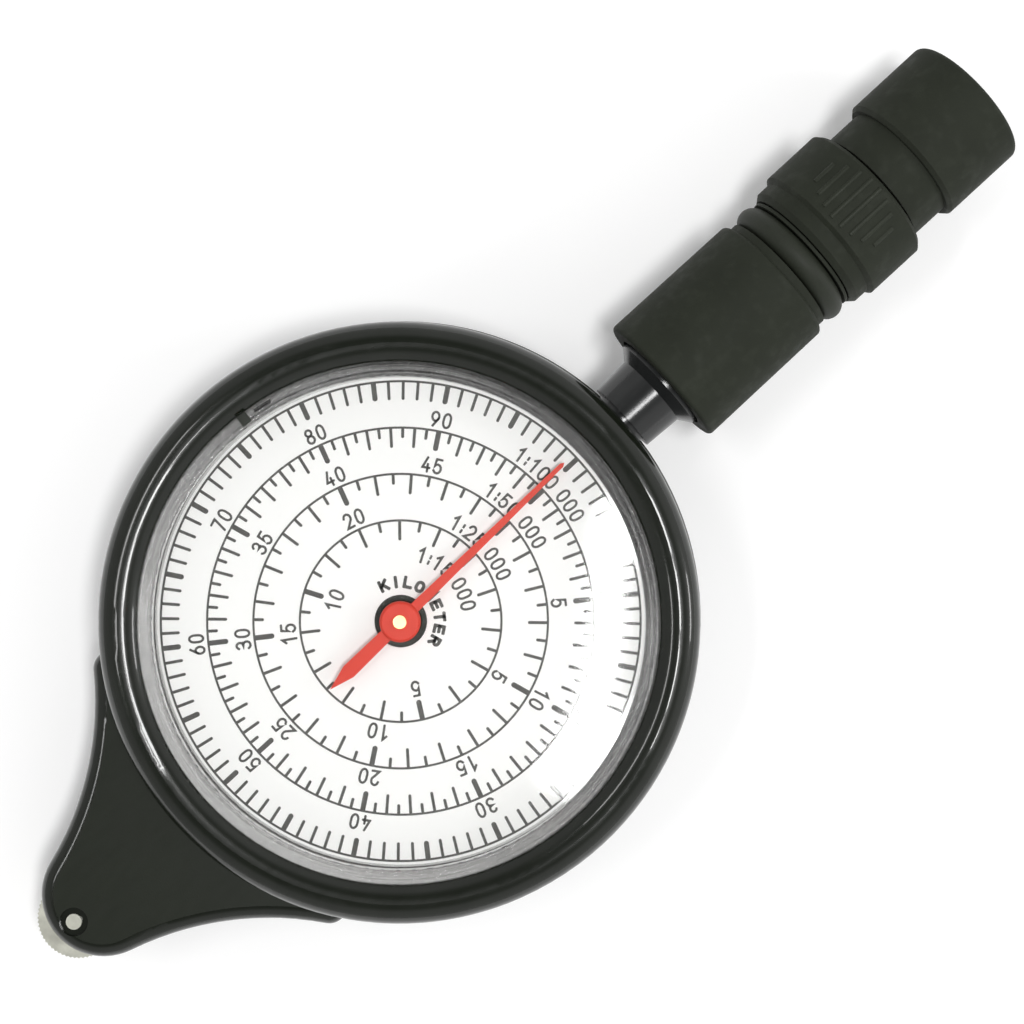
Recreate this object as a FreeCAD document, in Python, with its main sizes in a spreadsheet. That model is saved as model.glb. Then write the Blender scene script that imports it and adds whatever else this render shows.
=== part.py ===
import FreeCAD
import Part
import Sketcher
import math
import os
import re

# Opisometer: a small wheel in the tail turns a red pointer over a dial of map scales.
# The origin is the dial's centre on the back face, +Z looks out of the dial and +Y runs
# along the handle. All sizes are in millimetres, angles in degrees.

SIZES = {
    # fits and clearances
    "running_fit": 0.05,
    "loose_fit": 0.1,
    "layer_gap": 0.3,
    "hub_gap": 0.2,
    # round case, lying on its back
    "case_radius": 23.0,
    "case_wall": 1.3,
    "back_thick": 1.2,
    "back_round": 1.6,
    "seam_height": 6.25,
    "seam_gap": 0.05,
    "seam_bevel": 0.3,
    "bezel_setback": 0.4,
    "bezel_wall": 1.3,
    "bezel_lip": 1.75,
    "bezel_round": 1.7,
    "bezel_inner_drop": 0.6,
    # tail that carries the wheel
    "tail_under": 1.0,
    "tail_floor": 1.0,
    "tail_plate": 1.5,
    "tail_wall": 1.0,
    "tail_round": 1.15,
    "tail_back_round": 0.5,
    "horn_half": 13.75,
    "horn_round": 1.4,
    "root_half": 9.0,
    "root_reach": 15.0,
    "side_radius": 24.0,
    "tip_radius": 4.8,
    "tip_turn": 16.5,
    "tip_setback": 2.9,
    # movement plate, dial and lens
    "plate_lift": 0.65,
    "plate_thick": 0.7,
    "plate_key_gap": 0.3,
    "dial_thick": 0.35,
    "dial_hole": 2.0,
    "foot_thick": 0.85,
    "foot_gap": 0.4,
    "skirt_wall": 1.05,
    "rim_height": 0.55,
    "rim_drop": 0.4,
    "rim_round": 0.3,
    "window_room": 0.5,
    "window_thick": 0.9,
    "crown_rise": 0.35,
    # pointer and its arbor
    "arbor_radius": 0.5,
    "arbor_lift": 0.4,
    "arbor_tip": 0.15,
    "pin_cover": 0.3,
    "centre_boss_radius": 1.6,
    "centre_boss_height": 3.3,
    "bush_radius": 1.6,
    "bush_proud": 0.15,
    "pointer_turn": 1.5,
    "pointer_hub": 1.55,
    "pointer_lift": 0.25,
    "hub_thick": 0.9,
    "arm_lift": 0.35,
    "arm_thick": 0.25,
    "arm_gap": 1.2,
    "arm_root": 0.4,
    "arm_tip": 0.17,
    "arm_point": 0.3,
    "arm_tail": 7.35,
    "arm_tail_root": 0.48,
    "arm_tail_swell": 0.56,
    "arm_tail_swell_at": 5.4,
    # gear train: the wheel's pinion, an idler, a compound gear and the centre gear
    "gear_room": 7.0,
    "train_module": 0.3,
    "pinion_teeth": 10,
    "idler_teeth": 24,
    "transfer_teeth": 50,
    "centre_teeth": 100,
    "tooth_shift": 0.4,
    "tooth_play": 0.07,
    "mesh_play": 0.04,
    "train_thick": 0.9,
    "centre_gear_thick": 0.75,
    "centre_hub_radius": 2.2,
    "transfer_hub": 1.2,
    "transfer_boss_radius": 1.4,
    "transfer_boss_height": 1.0,
    "idler_hub": 1.15,
    "idler_boss_height": 0.3,
    "idler_pin_radius": 0.5,
    # measuring wheel
    "wheel_round": 20.0,
    "wheel_thick": 1.8,
    "wheel_lift": 0.05,
    "sleeve_wall": 0.55,
    "wheel_ridges": 60,
    "ridge_depth": 0.12,
    "wheel_room": 0.35,
    "axle_radius": 0.6,
    "axle_end_drop": 0.08,
    "recess_wall": 0.5,
    "recess_depth": 0.3,
    "washer_wall": 0.55,
    "washer_thick": 0.15,
    # screws
    "case_screw_angle": 30.0,
    "case_screw_radius": 0.8,
    "case_screw_head": 1.4,
    "case_screw_sink": 0.35,
    "case_screw_head_thick": 1.0,
    "case_screw_reach": 2.6,
    "lug_radius": 1.8,
    "lug_overlap": 0.1,
    "lug_under": 3.1,
    "plate_screw_angle": 10.0,
    "plate_screw_radius": 0.6,
    "plate_screw_head": 1.05,
    "plate_screw_head_thick": 0.32,
    "plate_screw_reach": 3.5,
    "post_radius": 1.3,
    "post_gap": 0.6,
    # stem of the handle
    "key_half": 3.2,
    "key_thick": 0.9,
    "neck_radius": 2.3,
    "stem_radius": 2.86,
    "stem_swell": 3.0,
    "stem_length": 3.0,
    "flare_length": 0.7,
    "flange_thick": 0.55,
    "flange_proud": 0.3,
    "mouth_gap": 0.25,
    "plug_radius": 2.4,
    "plug_nose": 2.45,
    "plug_room": 0.7,
    "groove_half": 1.0,
    "groove_flat": 0.5,
    # grip and core
    "barrel_length": 11.7,
    "barrel_radius": 5.56,
    "barrel_taper": 0.08,
    "barrel_round": 0.35,
    "barrel_lip": 0.65,
    "barrel_lip_radius": 5.0,
    "core_radius": 4.2,
    "core_stub_radius": 3.6,
    "thread_step": 0.6,
    "thread_depth": 1.2,
    "thread_room": 0.25,
    "ring_section": 1.0,
    "ring_stand": 0.2,
    "ring_flange": 0.25,
    "ring_flange_radius": 5.05,
    # latch balls, release collar and its spring
    "ball_lead": 2.25,
    "ball_radius": 1.2,
    "ball_sink": 0.4,
    "ball_count": 3,
    "hole_wall": 0.15,
    "bead_gap": 0.1,
    "bead_radius": 5.54,
    "bead_nose": 0.45,
    "bead_length": 1.8,
    "nose_wall": 0.12,
    "collar_radius": 5.92,
    "collar_bevel": 0.3,
    "collar_travel": 1.8,
    "release_slope": 0.25,
    "land_lead": 0.1,
    "rib_thick": 0.5,
    "pad_ridges": 8,
    "pad_pitch": 9.5,
    "pad_margin": 0.35,
    "pad_short": 1.2,
    "pad_ridge_radius": 0.25,
    "pad_ridge_sink": 0.15,
    "spring_wire": 0.16,
    "spring_turns": 3.0,
    "spring_packed": 1.1,
    # end knob
    "knob_gap": 0.35,
    "neck_ring_radius": 4.87,
    "neck_length": 3.05,
    "head_length": 7.05,
    "head_radius": 5.49,
    "head_round": 0.45,
    "head_bevel": 0.3,
}

document = FreeCAD.newDocument("MapMeasurer")
sheet = document.addObject("Spreadsheet::Sheet", "Sizes")
for row, (alias, size) in enumerate(SIZES.items(), start=1):
    sheet.set(f"A{row}", alias)
    sheet.set(f"B{row}", str(size))
    sheet.setAlias(f"B{row}", alias)
document.recompute()

NODES = []

# Sizes, heights and places that follow from the ones above. First the round case.
BEZEL_RADIUS = "(case_radius - bezel_setback)"
BEZEL_INSIDE = f"({BEZEL_RADIUS} - bezel_wall)"
BEZEL_OPENING = f"({BEZEL_INSIDE} - bezel_lip)"
FRONT_UNDER = "(seam_height + seam_gap)"
TAIL_TOP = f"({FRONT_UNDER} + tail_plate)"
TAIL_INSIDE = "(tail_under + tail_floor)"
KEY_END = f"(sqrt({BEZEL_INSIDE} ^ 2 - key_half ^ 2) - running_fit)"
KEY_START = f"({KEY_END} - key_thick)"

# The gear train: distances from the dial's centre towards the tail.
DRIVE_MODULE = "(2 * (case_radius - gear_room) / centre_teeth)"
CENTRE_TIP = f"({DRIVE_MODULE} * (centre_teeth / 2 + 1 - tooth_shift))"
TRANSFER_AT = f"({DRIVE_MODULE} * (centre_teeth + pinion_teeth) / 2 + mesh_play)"
IDLER_AT = f"({TRANSFER_AT} + train_module * (transfer_teeth + idler_teeth) / 2 + mesh_play)"
WHEEL_AT = f"({IDLER_AT} + train_module * (idler_teeth + pinion_teeth) / 2 + mesh_play)"
TIP_REACH = f"({WHEEL_AT} - tip_setback)"
SIDE_ACROSS = "((side_radius + tip_radius) * cos(tip_turn))"
SIDE_ALONG = f"(-{TIP_REACH} - (side_radius + tip_radius) * sin(tip_turn))"
WHEEL_RADIUS = "(wheel_round / (2 * pi))"

# Heights, from the back of the case up to the top of the bezel.
SLEEVE_UNDER = f"({TAIL_INSIDE} + 2 * running_fit + washer_thick)"
SLEEVE_TOP = f"({FRONT_UNDER} - 2 * running_fit - washer_thick)"
WHEEL_UNDER = f"({SLEEVE_TOP} - wheel_lift - wheel_thick)"
TRAIN_TOP = f"({WHEEL_UNDER} - layer_gap)"
TRAIN_UNDER = f"({TRAIN_TOP} - train_thick)"
IDLER_BOSS_TOP = f"({TAIL_INSIDE} + idler_boss_height)"
DRIVE_UNDER = f"({TRAIN_TOP} + hub_gap)"
PLATE_UNDER = f"({FRONT_UNDER} + plate_lift)"
CENTRE_GEAR_TOP = f"({PLATE_UNDER} - layer_gap)"
CENTRE_GEAR_UNDER = f"({CENTRE_GEAR_TOP} - centre_gear_thick)"
PLATE_TOP = f"({PLATE_UNDER} + plate_thick)"
DIAL_TOP = f"({PLATE_TOP} + dial_thick)"
BUSH_TOP = f"({DIAL_TOP} + bush_proud)"
HUB_UNDER = f"({BUSH_TOP} + pointer_lift)"
HUB_TOP = f"({HUB_UNDER} + hub_thick)"
ARBOR_END = f"({HUB_TOP} + arbor_tip)"
WINDOW_UNDER = f"({ARBOR_END} + window_room)"
WINDOW_EDGE = f"({WINDOW_UNDER} + window_thick)"
RIM_TOP = f"({WINDOW_EDGE} + rim_height)"
BEZEL_TOP = f"({RIM_TOP} + rim_drop)"
BEZEL_EDGE = f"({BEZEL_TOP} - bezel_inner_drop)"
FOOT_UNDER = f"({DIAL_TOP} + running_fit)"
FOOT_TOP = f"({FOOT_UNDER} + foot_thick)"
LIP_UNDER = f"({FOOT_TOP} + loose_fit)"
CENTRE_BOSS_TOP = "(back_thick + centre_boss_height)"
TRANSFER_BOSS_TOP = "(back_thick + transfer_boss_height)"
ARBOR_START = "(back_thick + arbor_lift)"
SCREW_HEAD_TOP = "(case_screw_sink + case_screw_head_thick)"
CASE_SCREW_END = "(lug_under + case_screw_reach)"
PLATE_SCREW_SEAT = f"({PLATE_TOP} - plate_screw_head_thick)"
PLATE_SCREW_END = f"({PLATE_SCREW_SEAT} - plate_screw_reach)"
LUG_TOP = f"({PLATE_UNDER} - running_fit)"

# Radii and rings that go round the dial.
BEZEL_CREST = f"({BEZEL_RADIUS} - bezel_round)"
BEZEL_SLOPE = f"({BEZEL_CREST} - {BEZEL_OPENING})"
BEZEL_INNER_ROUND = f"(({BEZEL_SLOPE} ^ 2 + bezel_inner_drop ^ 2) / (2 * bezel_inner_drop))"
FOOT_RADIUS = f"({BEZEL_INSIDE} - foot_gap)"
SKIRT_OUTSIDE = f"({BEZEL_OPENING} - running_fit)"
SKIRT_INSIDE = f"({SKIRT_OUTSIDE} - skirt_wall)"
CROWN_RADIUS = f"(({SKIRT_INSIDE} ^ 2 + crown_rise ^ 2) / (2 * crown_rise))"
PLATE_RADIUS = f"({KEY_START} - plate_key_gap)"
ARM_REACH = f"({SKIRT_INSIDE} - arm_gap)"
CASE_SCREW_RING = f"({BEZEL_INSIDE} + lug_overlap - lug_radius)"
PLATE_SCREW_RING = f"({CENTRE_TIP} + post_radius + post_gap)"
PIVOT_BORE = "(arbor_radius + running_fit)"
SLEEVE_BORE = "(axle_radius + running_fit)"
SLEEVE_RADIUS = f"({SLEEVE_BORE} + sleeve_wall)"

# Places and radii along the handle, from the case to the end of the knob.
FLARE_START = "(case_radius + stem_length)"
FLANGE_START = f"({FLARE_START} + flare_length)"
FLANGE_END = f"({FLANGE_START} + flange_thick)"
BARREL_START = f"({FLANGE_START} + flange_proud)"
BARREL_END = f"({BARREL_START} + barrel_length)"
LIP_END = f"({BARREL_END} + barrel_lip)"
CORE_START = f"({FLANGE_END} + 2 * loose_fit)"
RING_AT = f"({LIP_END} + loose_fit + ring_section)"
RING_GROOVE_END = f"({RING_AT} + ring_section + running_fit)"
RING_FLANGE_END = f"({RING_GROOVE_END} + ring_flange)"
BEAD_START = f"({RING_FLANGE_END} + bead_gap)"
COLLAR_START = f"({BEAD_START} + bead_length)"
BALL_AT = f"({BEAD_START} + ball_lead)"
PLUG_END = f"({BALL_AT} + plug_nose)"
CORE_STEP = f"({BALL_AT} + ball_radius + hole_wall)"
LAND_START = f"({BALL_AT} + land_lead)"
RIB_START = f"({CORE_STEP} + running_fit)"
RIB_END = f"({RIB_START} + rib_thick)"
KNOB_START = f"({RIB_END} + collar_travel + spring_packed)"
COLLAR_END = f"({KNOB_START} - knob_gap)"
HEAD_START = f"({KNOB_START} + neck_length)"
KNOB_END = f"({HEAD_START} + head_length)"
CORE_END = f"({HEAD_START} + thread_depth)"
FLANGE_RADIUS = "(core_radius - mouth_gap)"
RING_RADIUS = "(core_radius + ring_stand)"
BALL_RING = "(plug_radius - ball_sink + ball_radius)"
GROOVE_RADIUS = "(plug_radius - ball_sink - running_fit)"
LAND_SLANT = "(ball_radius + running_fit) * sqrt(1 + release_slope ^ 2)"
LAND_RADIUS = f"({BALL_RING} + {LAND_SLANT} - release_slope * land_lead)"
RIB_RADIUS = "(core_stub_radius + loose_fit)"
THREAD_RADIUS = "(core_stub_radius - thread_step)"
COLLAR_BORE = "(neck_ring_radius + running_fit)"
SPRING_RADIUS = f"((core_stub_radius + {COLLAR_BORE}) / 2)"
PAD_LENGTH = f"({COLLAR_END} - {COLLAR_START} - 2 * pad_margin)"


def bound(expression):
    """Every alias has an underscore, so each such word is read from the sheet."""
    return re.sub(r"\b([a-z]+(?:_[a-z]+)+)\b", r"Sizes.\1", str(expression))


def number(expression):
    result = sheet.evalExpression(bound(expression).replace("Sizes.", ""))
    return float(getattr(result, "Value", result))


def new_body(name, forward="0", up="0"):
    body = document.addObject("PartDesign::Body", name)
    body.Label = name
    body.setExpression("Placement.Base.y", bound(forward))
    body.setExpression("Placement.Base.z", bound(up))
    NODES.append(body)
    return body


def new_sketch(body, plane="XY_Plane", offset="0"):
    sketch = body.newObject("Sketcher::SketchObject", f"{body.Name}_sketch")
    origin_plane = next(item for item in body.Origin.OriginFeatures if item.Role == plane)
    sketch.AttachmentSupport = [(origin_plane, "")]
    sketch.MapMode = "FlatFace"
    sketch.setExpression("AttachmentOffset.Base.z", bound(offset))
    return sketch


def size_constraint(sketch, constraint, expression):
    index = sketch.addConstraint(constraint)
    sketch.setExpression(f"Constraints[{index}]", bound(expression))


def pin_point(sketch, piece, end, across, along):
    """Ties one end of a line, arc or circle to its distances from the sketch's origin."""
    if across == "0":
        sketch.addConstraint(Sketcher.Constraint("PointOnObject", piece, end, -2))
    else:
        far = Sketcher.Constraint("DistanceX", -1, 1, piece, end, number(across))
        size_constraint(sketch, far, across)
    if along == "0":
        sketch.addConstraint(Sketcher.Constraint("PointOnObject", piece, end, -1))
    else:
        far = Sketcher.Constraint("DistanceY", -1, 1, piece, end, number(along))
        size_constraint(sketch, far, along)


def add_arc(sketch, start, finish, radius, turn):
    """An arc from start to finish whose centre is on the left (turn 1) or right (turn -1)."""
    chord = finish - start
    half = chord.Length / 2
    reach = math.sqrt(number(radius) ** 2 - half ** 2)
    sideways = FreeCAD.Vector(-chord.y, chord.x, 0).normalize() * (reach * turn)
    centre = (start + finish) / 2 + sideways
    first, last = (start, finish) if turn > 0 else (finish, start)
    angles = [math.atan2(spot.y - centre.y, spot.x - centre.x) for spot in (first, last)]
    circle = Part.Circle(centre, FreeCAD.Vector(0, 0, 1), number(radius))
    piece = sketch.addGeometry(Part.ArcOfCircle(circle, angles[0], angles[1]))
    size_constraint(sketch, Sketcher.Constraint("Radius", piece, number(radius)), radius)
    return (piece, 1, 2) if turn > 0 else (piece, 2, 1)


def outline(sketch, corners):
    """A closed outline. A corner is (across, along), with (radius, turn) added where the
    run that leaves it is an arc."""
    spots = [FreeCAD.Vector(number(corner[0]), number(corner[1]), 0) for corner in corners]
    runs = []
    for index, corner in enumerate(corners):
        start = spots[index]
        finish = spots[(index + 1) % len(spots)]
        if len(corner) == 2:
            piece = sketch.addGeometry(Part.LineSegment(start, finish))
            runs.append((piece, 1, 2))
        else:
            runs.append(add_arc(sketch, start, finish, corner[2], corner[3]))
    for index, corner in enumerate(corners):
        piece, start_end, _ = runs[index]
        before, _, before_end = runs[index - 1]
        joint = Sketcher.Constraint("Coincident", before, before_end, piece, start_end)
        sketch.addConstraint(joint)
        pin_point(sketch, piece, start_end, corner[0], corner[1])


def circles(sketch, rounds):
    for across, along, radius in rounds:
        centre = FreeCAD.Vector(number(across), number(along), 0)
        circle = Part.Circle(centre, FreeCAD.Vector(0, 0, 1), number(radius))
        piece = sketch.addGeometry(circle)
        size_constraint(sketch, Sketcher.Constraint("Radius", piece, number(radius)), radius)
        pin_point(sketch, piece, 3, across, along)


def revolve(body, plane, corners):
    sketch = new_sketch(body, plane)
    outline(sketch, corners)
    turned = body.newObject("PartDesign::Revolution", f"{body.Name}_turned")
    turned.Profile = sketch
    turned.ReferenceAxis = (sketch, ["V_Axis"])
    turned.Angle = 360
    document.recompute()
    return turned


def turned_on_z(name, corners, forward="0"):
    """A piece turned about an upright axis from corners of (radius, height)."""
    body = new_body(name, forward)
    revolve(body, "XZ_Plane", corners)
    return body


def turned_on_y(name, corners):
    """A piece turned about the handle's axis from corners of (radius, distance along it)."""
    body = new_body(name, up="seam_height")
    revolve(body, "XY_Plane", corners)
    return body


def pad(body, draw, shapes, low, high):
    sketch = new_sketch(body, offset=low)
    draw(sketch, shapes)
    added = body.newObject("PartDesign::Pad", f"{body.Name}_pad")
    added.Profile = sketch
    added.setExpression("Length", bound(f"({high}) - ({low})"))
    document.recompute()
    return added


def pocket(body, draw, shapes, low, high):
    """Cuts from high down to low."""
    sketch = new_sketch(body, offset=high)
    draw(sketch, shapes)
    cut = body.newObject("PartDesign::Pocket", f"{body.Name}_pocket")
    cut.Profile = sketch
    cut.setExpression("Length", bound(f"({high}) - ({low})"))
    document.recompute()
    return cut


def round_edges(body, kind, size, wanted):
    """Rounds or bevels the edges of the body's last feature that wanted picks."""
    base = body.Tip
    names = [f"Edge{i}" for i, edge in enumerate(base.Shape.Edges, start=1) if wanted(edge)]
    feature = body.newObject(f"PartDesign::{kind}", f"{body.Name}_{kind.lower()}")
    feature.Base = (base, names)
    feature.setExpression("Radius" if kind == "Fillet" else "Size", bound(size))
    document.recompute()
    return feature


def is_round(edge):
    return not edge.Degenerated and isinstance(edge.Curve, Part.Circle)


def ring_edge(radius, height):
    """Picks the round edge of that radius about Z at that height."""
    def wanted(edge):
        if not is_round(edge):
            return False
        level = abs(edge.BoundBox.ZMax - number(height)) + abs(edge.BoundBox.ZLength)
        return abs(edge.Curve.Radius - number(radius)) < 1e-4 and level < 1e-4
    return wanted


def hoop_edge(radius, along):
    """Picks the round edge of that radius about the handle's axis at that place."""
    def wanted(edge):
        if not is_round(edge):
            return False
        level = abs(edge.BoundBox.YMax - number(along)) + abs(edge.BoundBox.YLength)
        return abs(edge.Curve.Radius - number(radius)) < 1e-4 and level < 1e-4
    return wanted


def on_ring(radius, angle):
    return f"{radius} * cos({angle})", f"{radius} * sin({angle})"


def horn_spot(inset):
    """The tail's outer corner beside the case, on the hollow curve of its side."""
    across = f"(horn_half - {inset})"
    off = f"({SIDE_ACROSS} - {across})"
    along = f"({SIDE_ALONG} + sqrt((side_radius + {inset}) ^ 2 - {off} ^ 2))"
    return across, along


def tail_corners(inset, root):
    """Outline of the tail seen from above, drawn in by inset and as wide as root inside."""
    horn_across, horn_along = horn_spot(inset)
    tip = f"(tip_radius - {inset})"
    tip_across = f"{tip} * cos(tip_turn)"
    tip_along = f"-{TIP_REACH} - {tip} * sin(tip_turn)"
    side = f"side_radius + {inset}"
    return [
        (f"-{root}", "-root_reach"),
        (f"-{horn_across}", horn_along, side, -1),
        (f"-{tip_across}", tip_along, tip, 1),
        (tip_across, tip_along, side, -1),
        (horn_across, horn_along),
        (root, "-root_reach"),
    ]


def tail_rim_edge(height):
    """Picks the tail's outer edges at that height: its two sides and its tip."""
    reaches = [number("side_radius"), number("tip_radius")]

    def wanted(edge):
        if not is_round(edge):
            return False
        level = abs(edge.BoundBox.ZMax - number(height)) + abs(edge.BoundBox.ZLength)
        off = min(abs(edge.Curve.Radius - reach) for reach in reaches)
        return level + off < 1e-4
    return wanted


def horn_edge(edge):
    """Picks the two upright edges at the horns of the tail."""
    box = edge.BoundBox
    upright = box.XLength < 1e-4 and box.YLength < 1e-4
    across, along = (number(value) for value in horn_spot("0"))
    return upright and abs(abs(box.XMax) - across) + abs(box.YMax - along) < 1e-3


def seat_for_stem(body):
    """Round seat for the stem's neck through the case wall."""
    sketch = new_sketch(body, "XZ_Plane", "-(case_radius + loose_fit)")
    circles(sketch, [("0", "seam_height", "neck_radius + running_fit")])
    cut = body.newObject("PartDesign::Pocket", f"{body.Name}_seat")
    cut.Profile = sketch
    cut.Reversed = True
    cut.setExpression("Length", bound(f"case_radius + loose_fit - {KEY_END}"))
    document.recompute()


CASE_SCREW_ANGLES = [
    "case_screw_angle",
    "(180 - case_screw_angle)",
    "(180 + case_screw_angle)",
    "(360 - case_screw_angle)",
]
PLATE_SCREW_ANGLES = ["90", "(180 + plate_screw_angle)", "(360 - plate_screw_angle)"]


def case_screw_circles(radius):
    return [(*on_ring(CASE_SCREW_RING, angle), radius) for angle in CASE_SCREW_ANGLES]


def plate_screw_circles(radius):
    spots = [("0", PLATE_SCREW_RING)]
    spots += [on_ring(PLATE_SCREW_RING, angle) for angle in PLATE_SCREW_ANGLES[1:]]
    return [(*spot, radius) for spot in spots]


def tail_block(body, low, high, face, rounding):
    """Solid tail with rounded horns and a rounded rim on its outer face."""
    pad(body, outline, tail_corners("0", "horn_half"), low, high)
    round_edges(body, "Fillet", "horn_round", horn_edge)
    round_edges(body, "Fillet", rounding, tail_rim_edge(face))


def rear_case():
    body = new_body("rear_case")
    tail_block(body, "tail_under", "seam_height", "tail_under", "tail_back_round")
    revolve(body, "XZ_Plane", [
        ("0", "0"),
        ("case_radius - back_round", "0", "back_round", 1),
        ("case_radius", "back_round"),
        ("case_radius", "seam_height - seam_bevel"),
        ("case_radius - seam_bevel", "seam_height"),
        ("0", "seam_height"),
    ])
    hollow = [("0", "0", "case_radius - case_wall")]
    pocket(body, circles, hollow, "back_thick", "seam_height")
    pocket(body, outline, tail_corners("tail_wall", "root_half"), TAIL_INSIDE, "seam_height")
    wheel_room = [("0", f"-{WHEEL_AT}", f"{WHEEL_RADIUS} + wheel_room")]
    pocket(body, circles, wheel_room, TAIL_INSIDE, "seam_height")
    floor_inside = "(back_thick - loose_fit)"
    pad(body, circles, case_screw_circles("lug_radius"), floor_inside, "lug_under - loose_fit")
    pad(body, circles, plate_screw_circles("post_radius"), floor_inside, PLATE_UNDER)
    pad(body, circles, [("0", "0", "centre_boss_radius")], floor_inside, CENTRE_BOSS_TOP)
    transfer_boss = [("0", f"-{TRANSFER_AT}", "transfer_boss_radius")]
    pad(body, circles, transfer_boss, floor_inside, TRANSFER_BOSS_TOP)
    idler_boss = [("0", f"-{IDLER_AT}", "idler_hub")]
    pad(body, circles, idler_boss, f"({TAIL_INSIDE} - loose_fit)", IDLER_BOSS_TOP)
    pocket(body, circles, [("0", "0", PIVOT_BORE)], f"{ARBOR_START} - loose_fit", CENTRE_BOSS_TOP)
    transfer_pivot = [("0", f"-{TRANSFER_AT}", PIVOT_BORE)]
    pocket(body, circles, transfer_pivot, f"{ARBOR_START} - loose_fit", TRANSFER_BOSS_TOP)
    idler_hole = [("0", f"-{IDLER_AT}", "idler_pin_radius")]
    pocket(body, circles, idler_hole, "tail_under + pin_cover", IDLER_BOSS_TOP)
    axle_hole = [("0", f"-{WHEEL_AT}", "axle_radius")]
    pocket(body, circles, axle_hole, "tail_under + pin_cover", TAIL_INSIDE)
    screw_way = case_screw_circles("case_screw_radius + loose_fit")
    pocket(body, circles, screw_way, "0", "lug_under - loose_fit")
    head_room = case_screw_circles("case_screw_head + loose_fit")
    pocket(body, circles, head_room, "0", SCREW_HEAD_TOP)
    post_holes = plate_screw_circles("plate_screw_radius")
    pocket(body, circles, post_holes, f"{PLATE_SCREW_END} - loose_fit", PLATE_UNDER)
    seat_for_stem(body)


def front_case():
    body = new_body("front_case")
    tail_block(body, FRONT_UNDER, TAIL_TOP, TAIL_TOP, "tail_round")
    revolve(body, "XZ_Plane", [
        (BEZEL_INSIDE, FRONT_UNDER),
        (BEZEL_RADIUS, FRONT_UNDER),
        (BEZEL_RADIUS, f"{BEZEL_TOP} - bezel_round", "bezel_round", 1),
        (BEZEL_CREST, BEZEL_TOP, BEZEL_INNER_ROUND, 1),
        (BEZEL_OPENING, BEZEL_EDGE),
        (BEZEL_OPENING, LIP_UNDER),
        (BEZEL_INSIDE, LIP_UNDER),
    ])
    pocket(body, circles, [("0", "0", BEZEL_INSIDE)], FRONT_UNDER, LIP_UNDER)
    pad(body, circles, case_screw_circles("lug_radius"), "lug_under", LUG_TOP)
    thread = case_screw_circles("case_screw_radius")
    pocket(body, circles, thread, "lug_under", f"{CASE_SCREW_END} + loose_fit")
    recess = [("0", f"-{WHEEL_AT}", "axle_radius + recess_wall")]
    pocket(body, circles, recess, f"{TAIL_TOP} - recess_depth", TAIL_TOP)
    axle_hole = [("0", f"-{WHEEL_AT}", "axle_radius")]
    pocket(body, circles, axle_hole, FRONT_UNDER, TAIL_TOP)
    idler_hole = [("0", f"-{IDLER_AT}", "idler_pin_radius")]
    pocket(body, circles, idler_hole, FRONT_UNDER, f"{TAIL_TOP} - pin_cover")
    seat_for_stem(body)


def lens():
    body = turned_on_z("lens", [
        ("0", WINDOW_UNDER),
        (SKIRT_INSIDE, WINDOW_UNDER),
        (SKIRT_INSIDE, FOOT_UNDER),
        (FOOT_RADIUS, FOOT_UNDER),
        (FOOT_RADIUS, FOOT_TOP),
        (SKIRT_OUTSIDE, FOOT_TOP),
        (SKIRT_OUTSIDE, RIM_TOP),
        (SKIRT_INSIDE, RIM_TOP),
        (SKIRT_INSIDE, WINDOW_EDGE, CROWN_RADIUS, 1),
        ("0", f"{WINDOW_EDGE} + crown_rise"),
    ])
    for radius in (SKIRT_OUTSIDE, SKIRT_INSIDE):
        round_edges(body, "Fillet", "rim_round", ring_edge(radius, RIM_TOP))


def dial():
    turned_on_z("dial", [
        ("dial_hole", PLATE_TOP),
        (FOOT_RADIUS, PLATE_TOP),
        (FOOT_RADIUS, DIAL_TOP),
        ("dial_hole", DIAL_TOP),
    ])


def movement_plate():
    body = turned_on_z("movement_plate", [
        ("bush_radius", PLATE_UNDER),
        (PLATE_RADIUS, PLATE_UNDER),
        (PLATE_RADIUS, PLATE_TOP),
        ("bush_radius", PLATE_TOP),
    ])
    upper_pivot = [("0", f"-{TRANSFER_AT}", PIVOT_BORE)]
    pocket(body, circles, upper_pivot, PLATE_UNDER, PLATE_TOP)
    screw_way = plate_screw_circles("plate_screw_radius + running_fit")
    pocket(body, circles, screw_way, PLATE_UNDER, PLATE_TOP)
    head_room = plate_screw_circles("plate_screw_head + running_fit")
    pocket(body, circles, head_room, PLATE_SCREW_SEAT, PLATE_TOP)


def screws(name, circles_for, head, shaft, head_low, head_high, shaft_low, shaft_high):
    """One node of like screws: a head and a shaft at each place."""
    body = new_body(name)
    pad(body, circles, circles_for(head), head_low, head_high)
    pad(body, circles, circles_for(shaft), shaft_low, shaft_high)


def centre_bush():
    turned_on_z("centre_bush", [
        (PIVOT_BORE, PLATE_UNDER),
        ("bush_radius", PLATE_UNDER),
        ("bush_radius", BUSH_TOP),
        (PIVOT_BORE, BUSH_TOP),
    ])


def rod(name, radius, low, high, forward="0"):
    turned_on_z(name, [("0", low), (radius, low), (radius, high), ("0", high)], forward)


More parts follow.
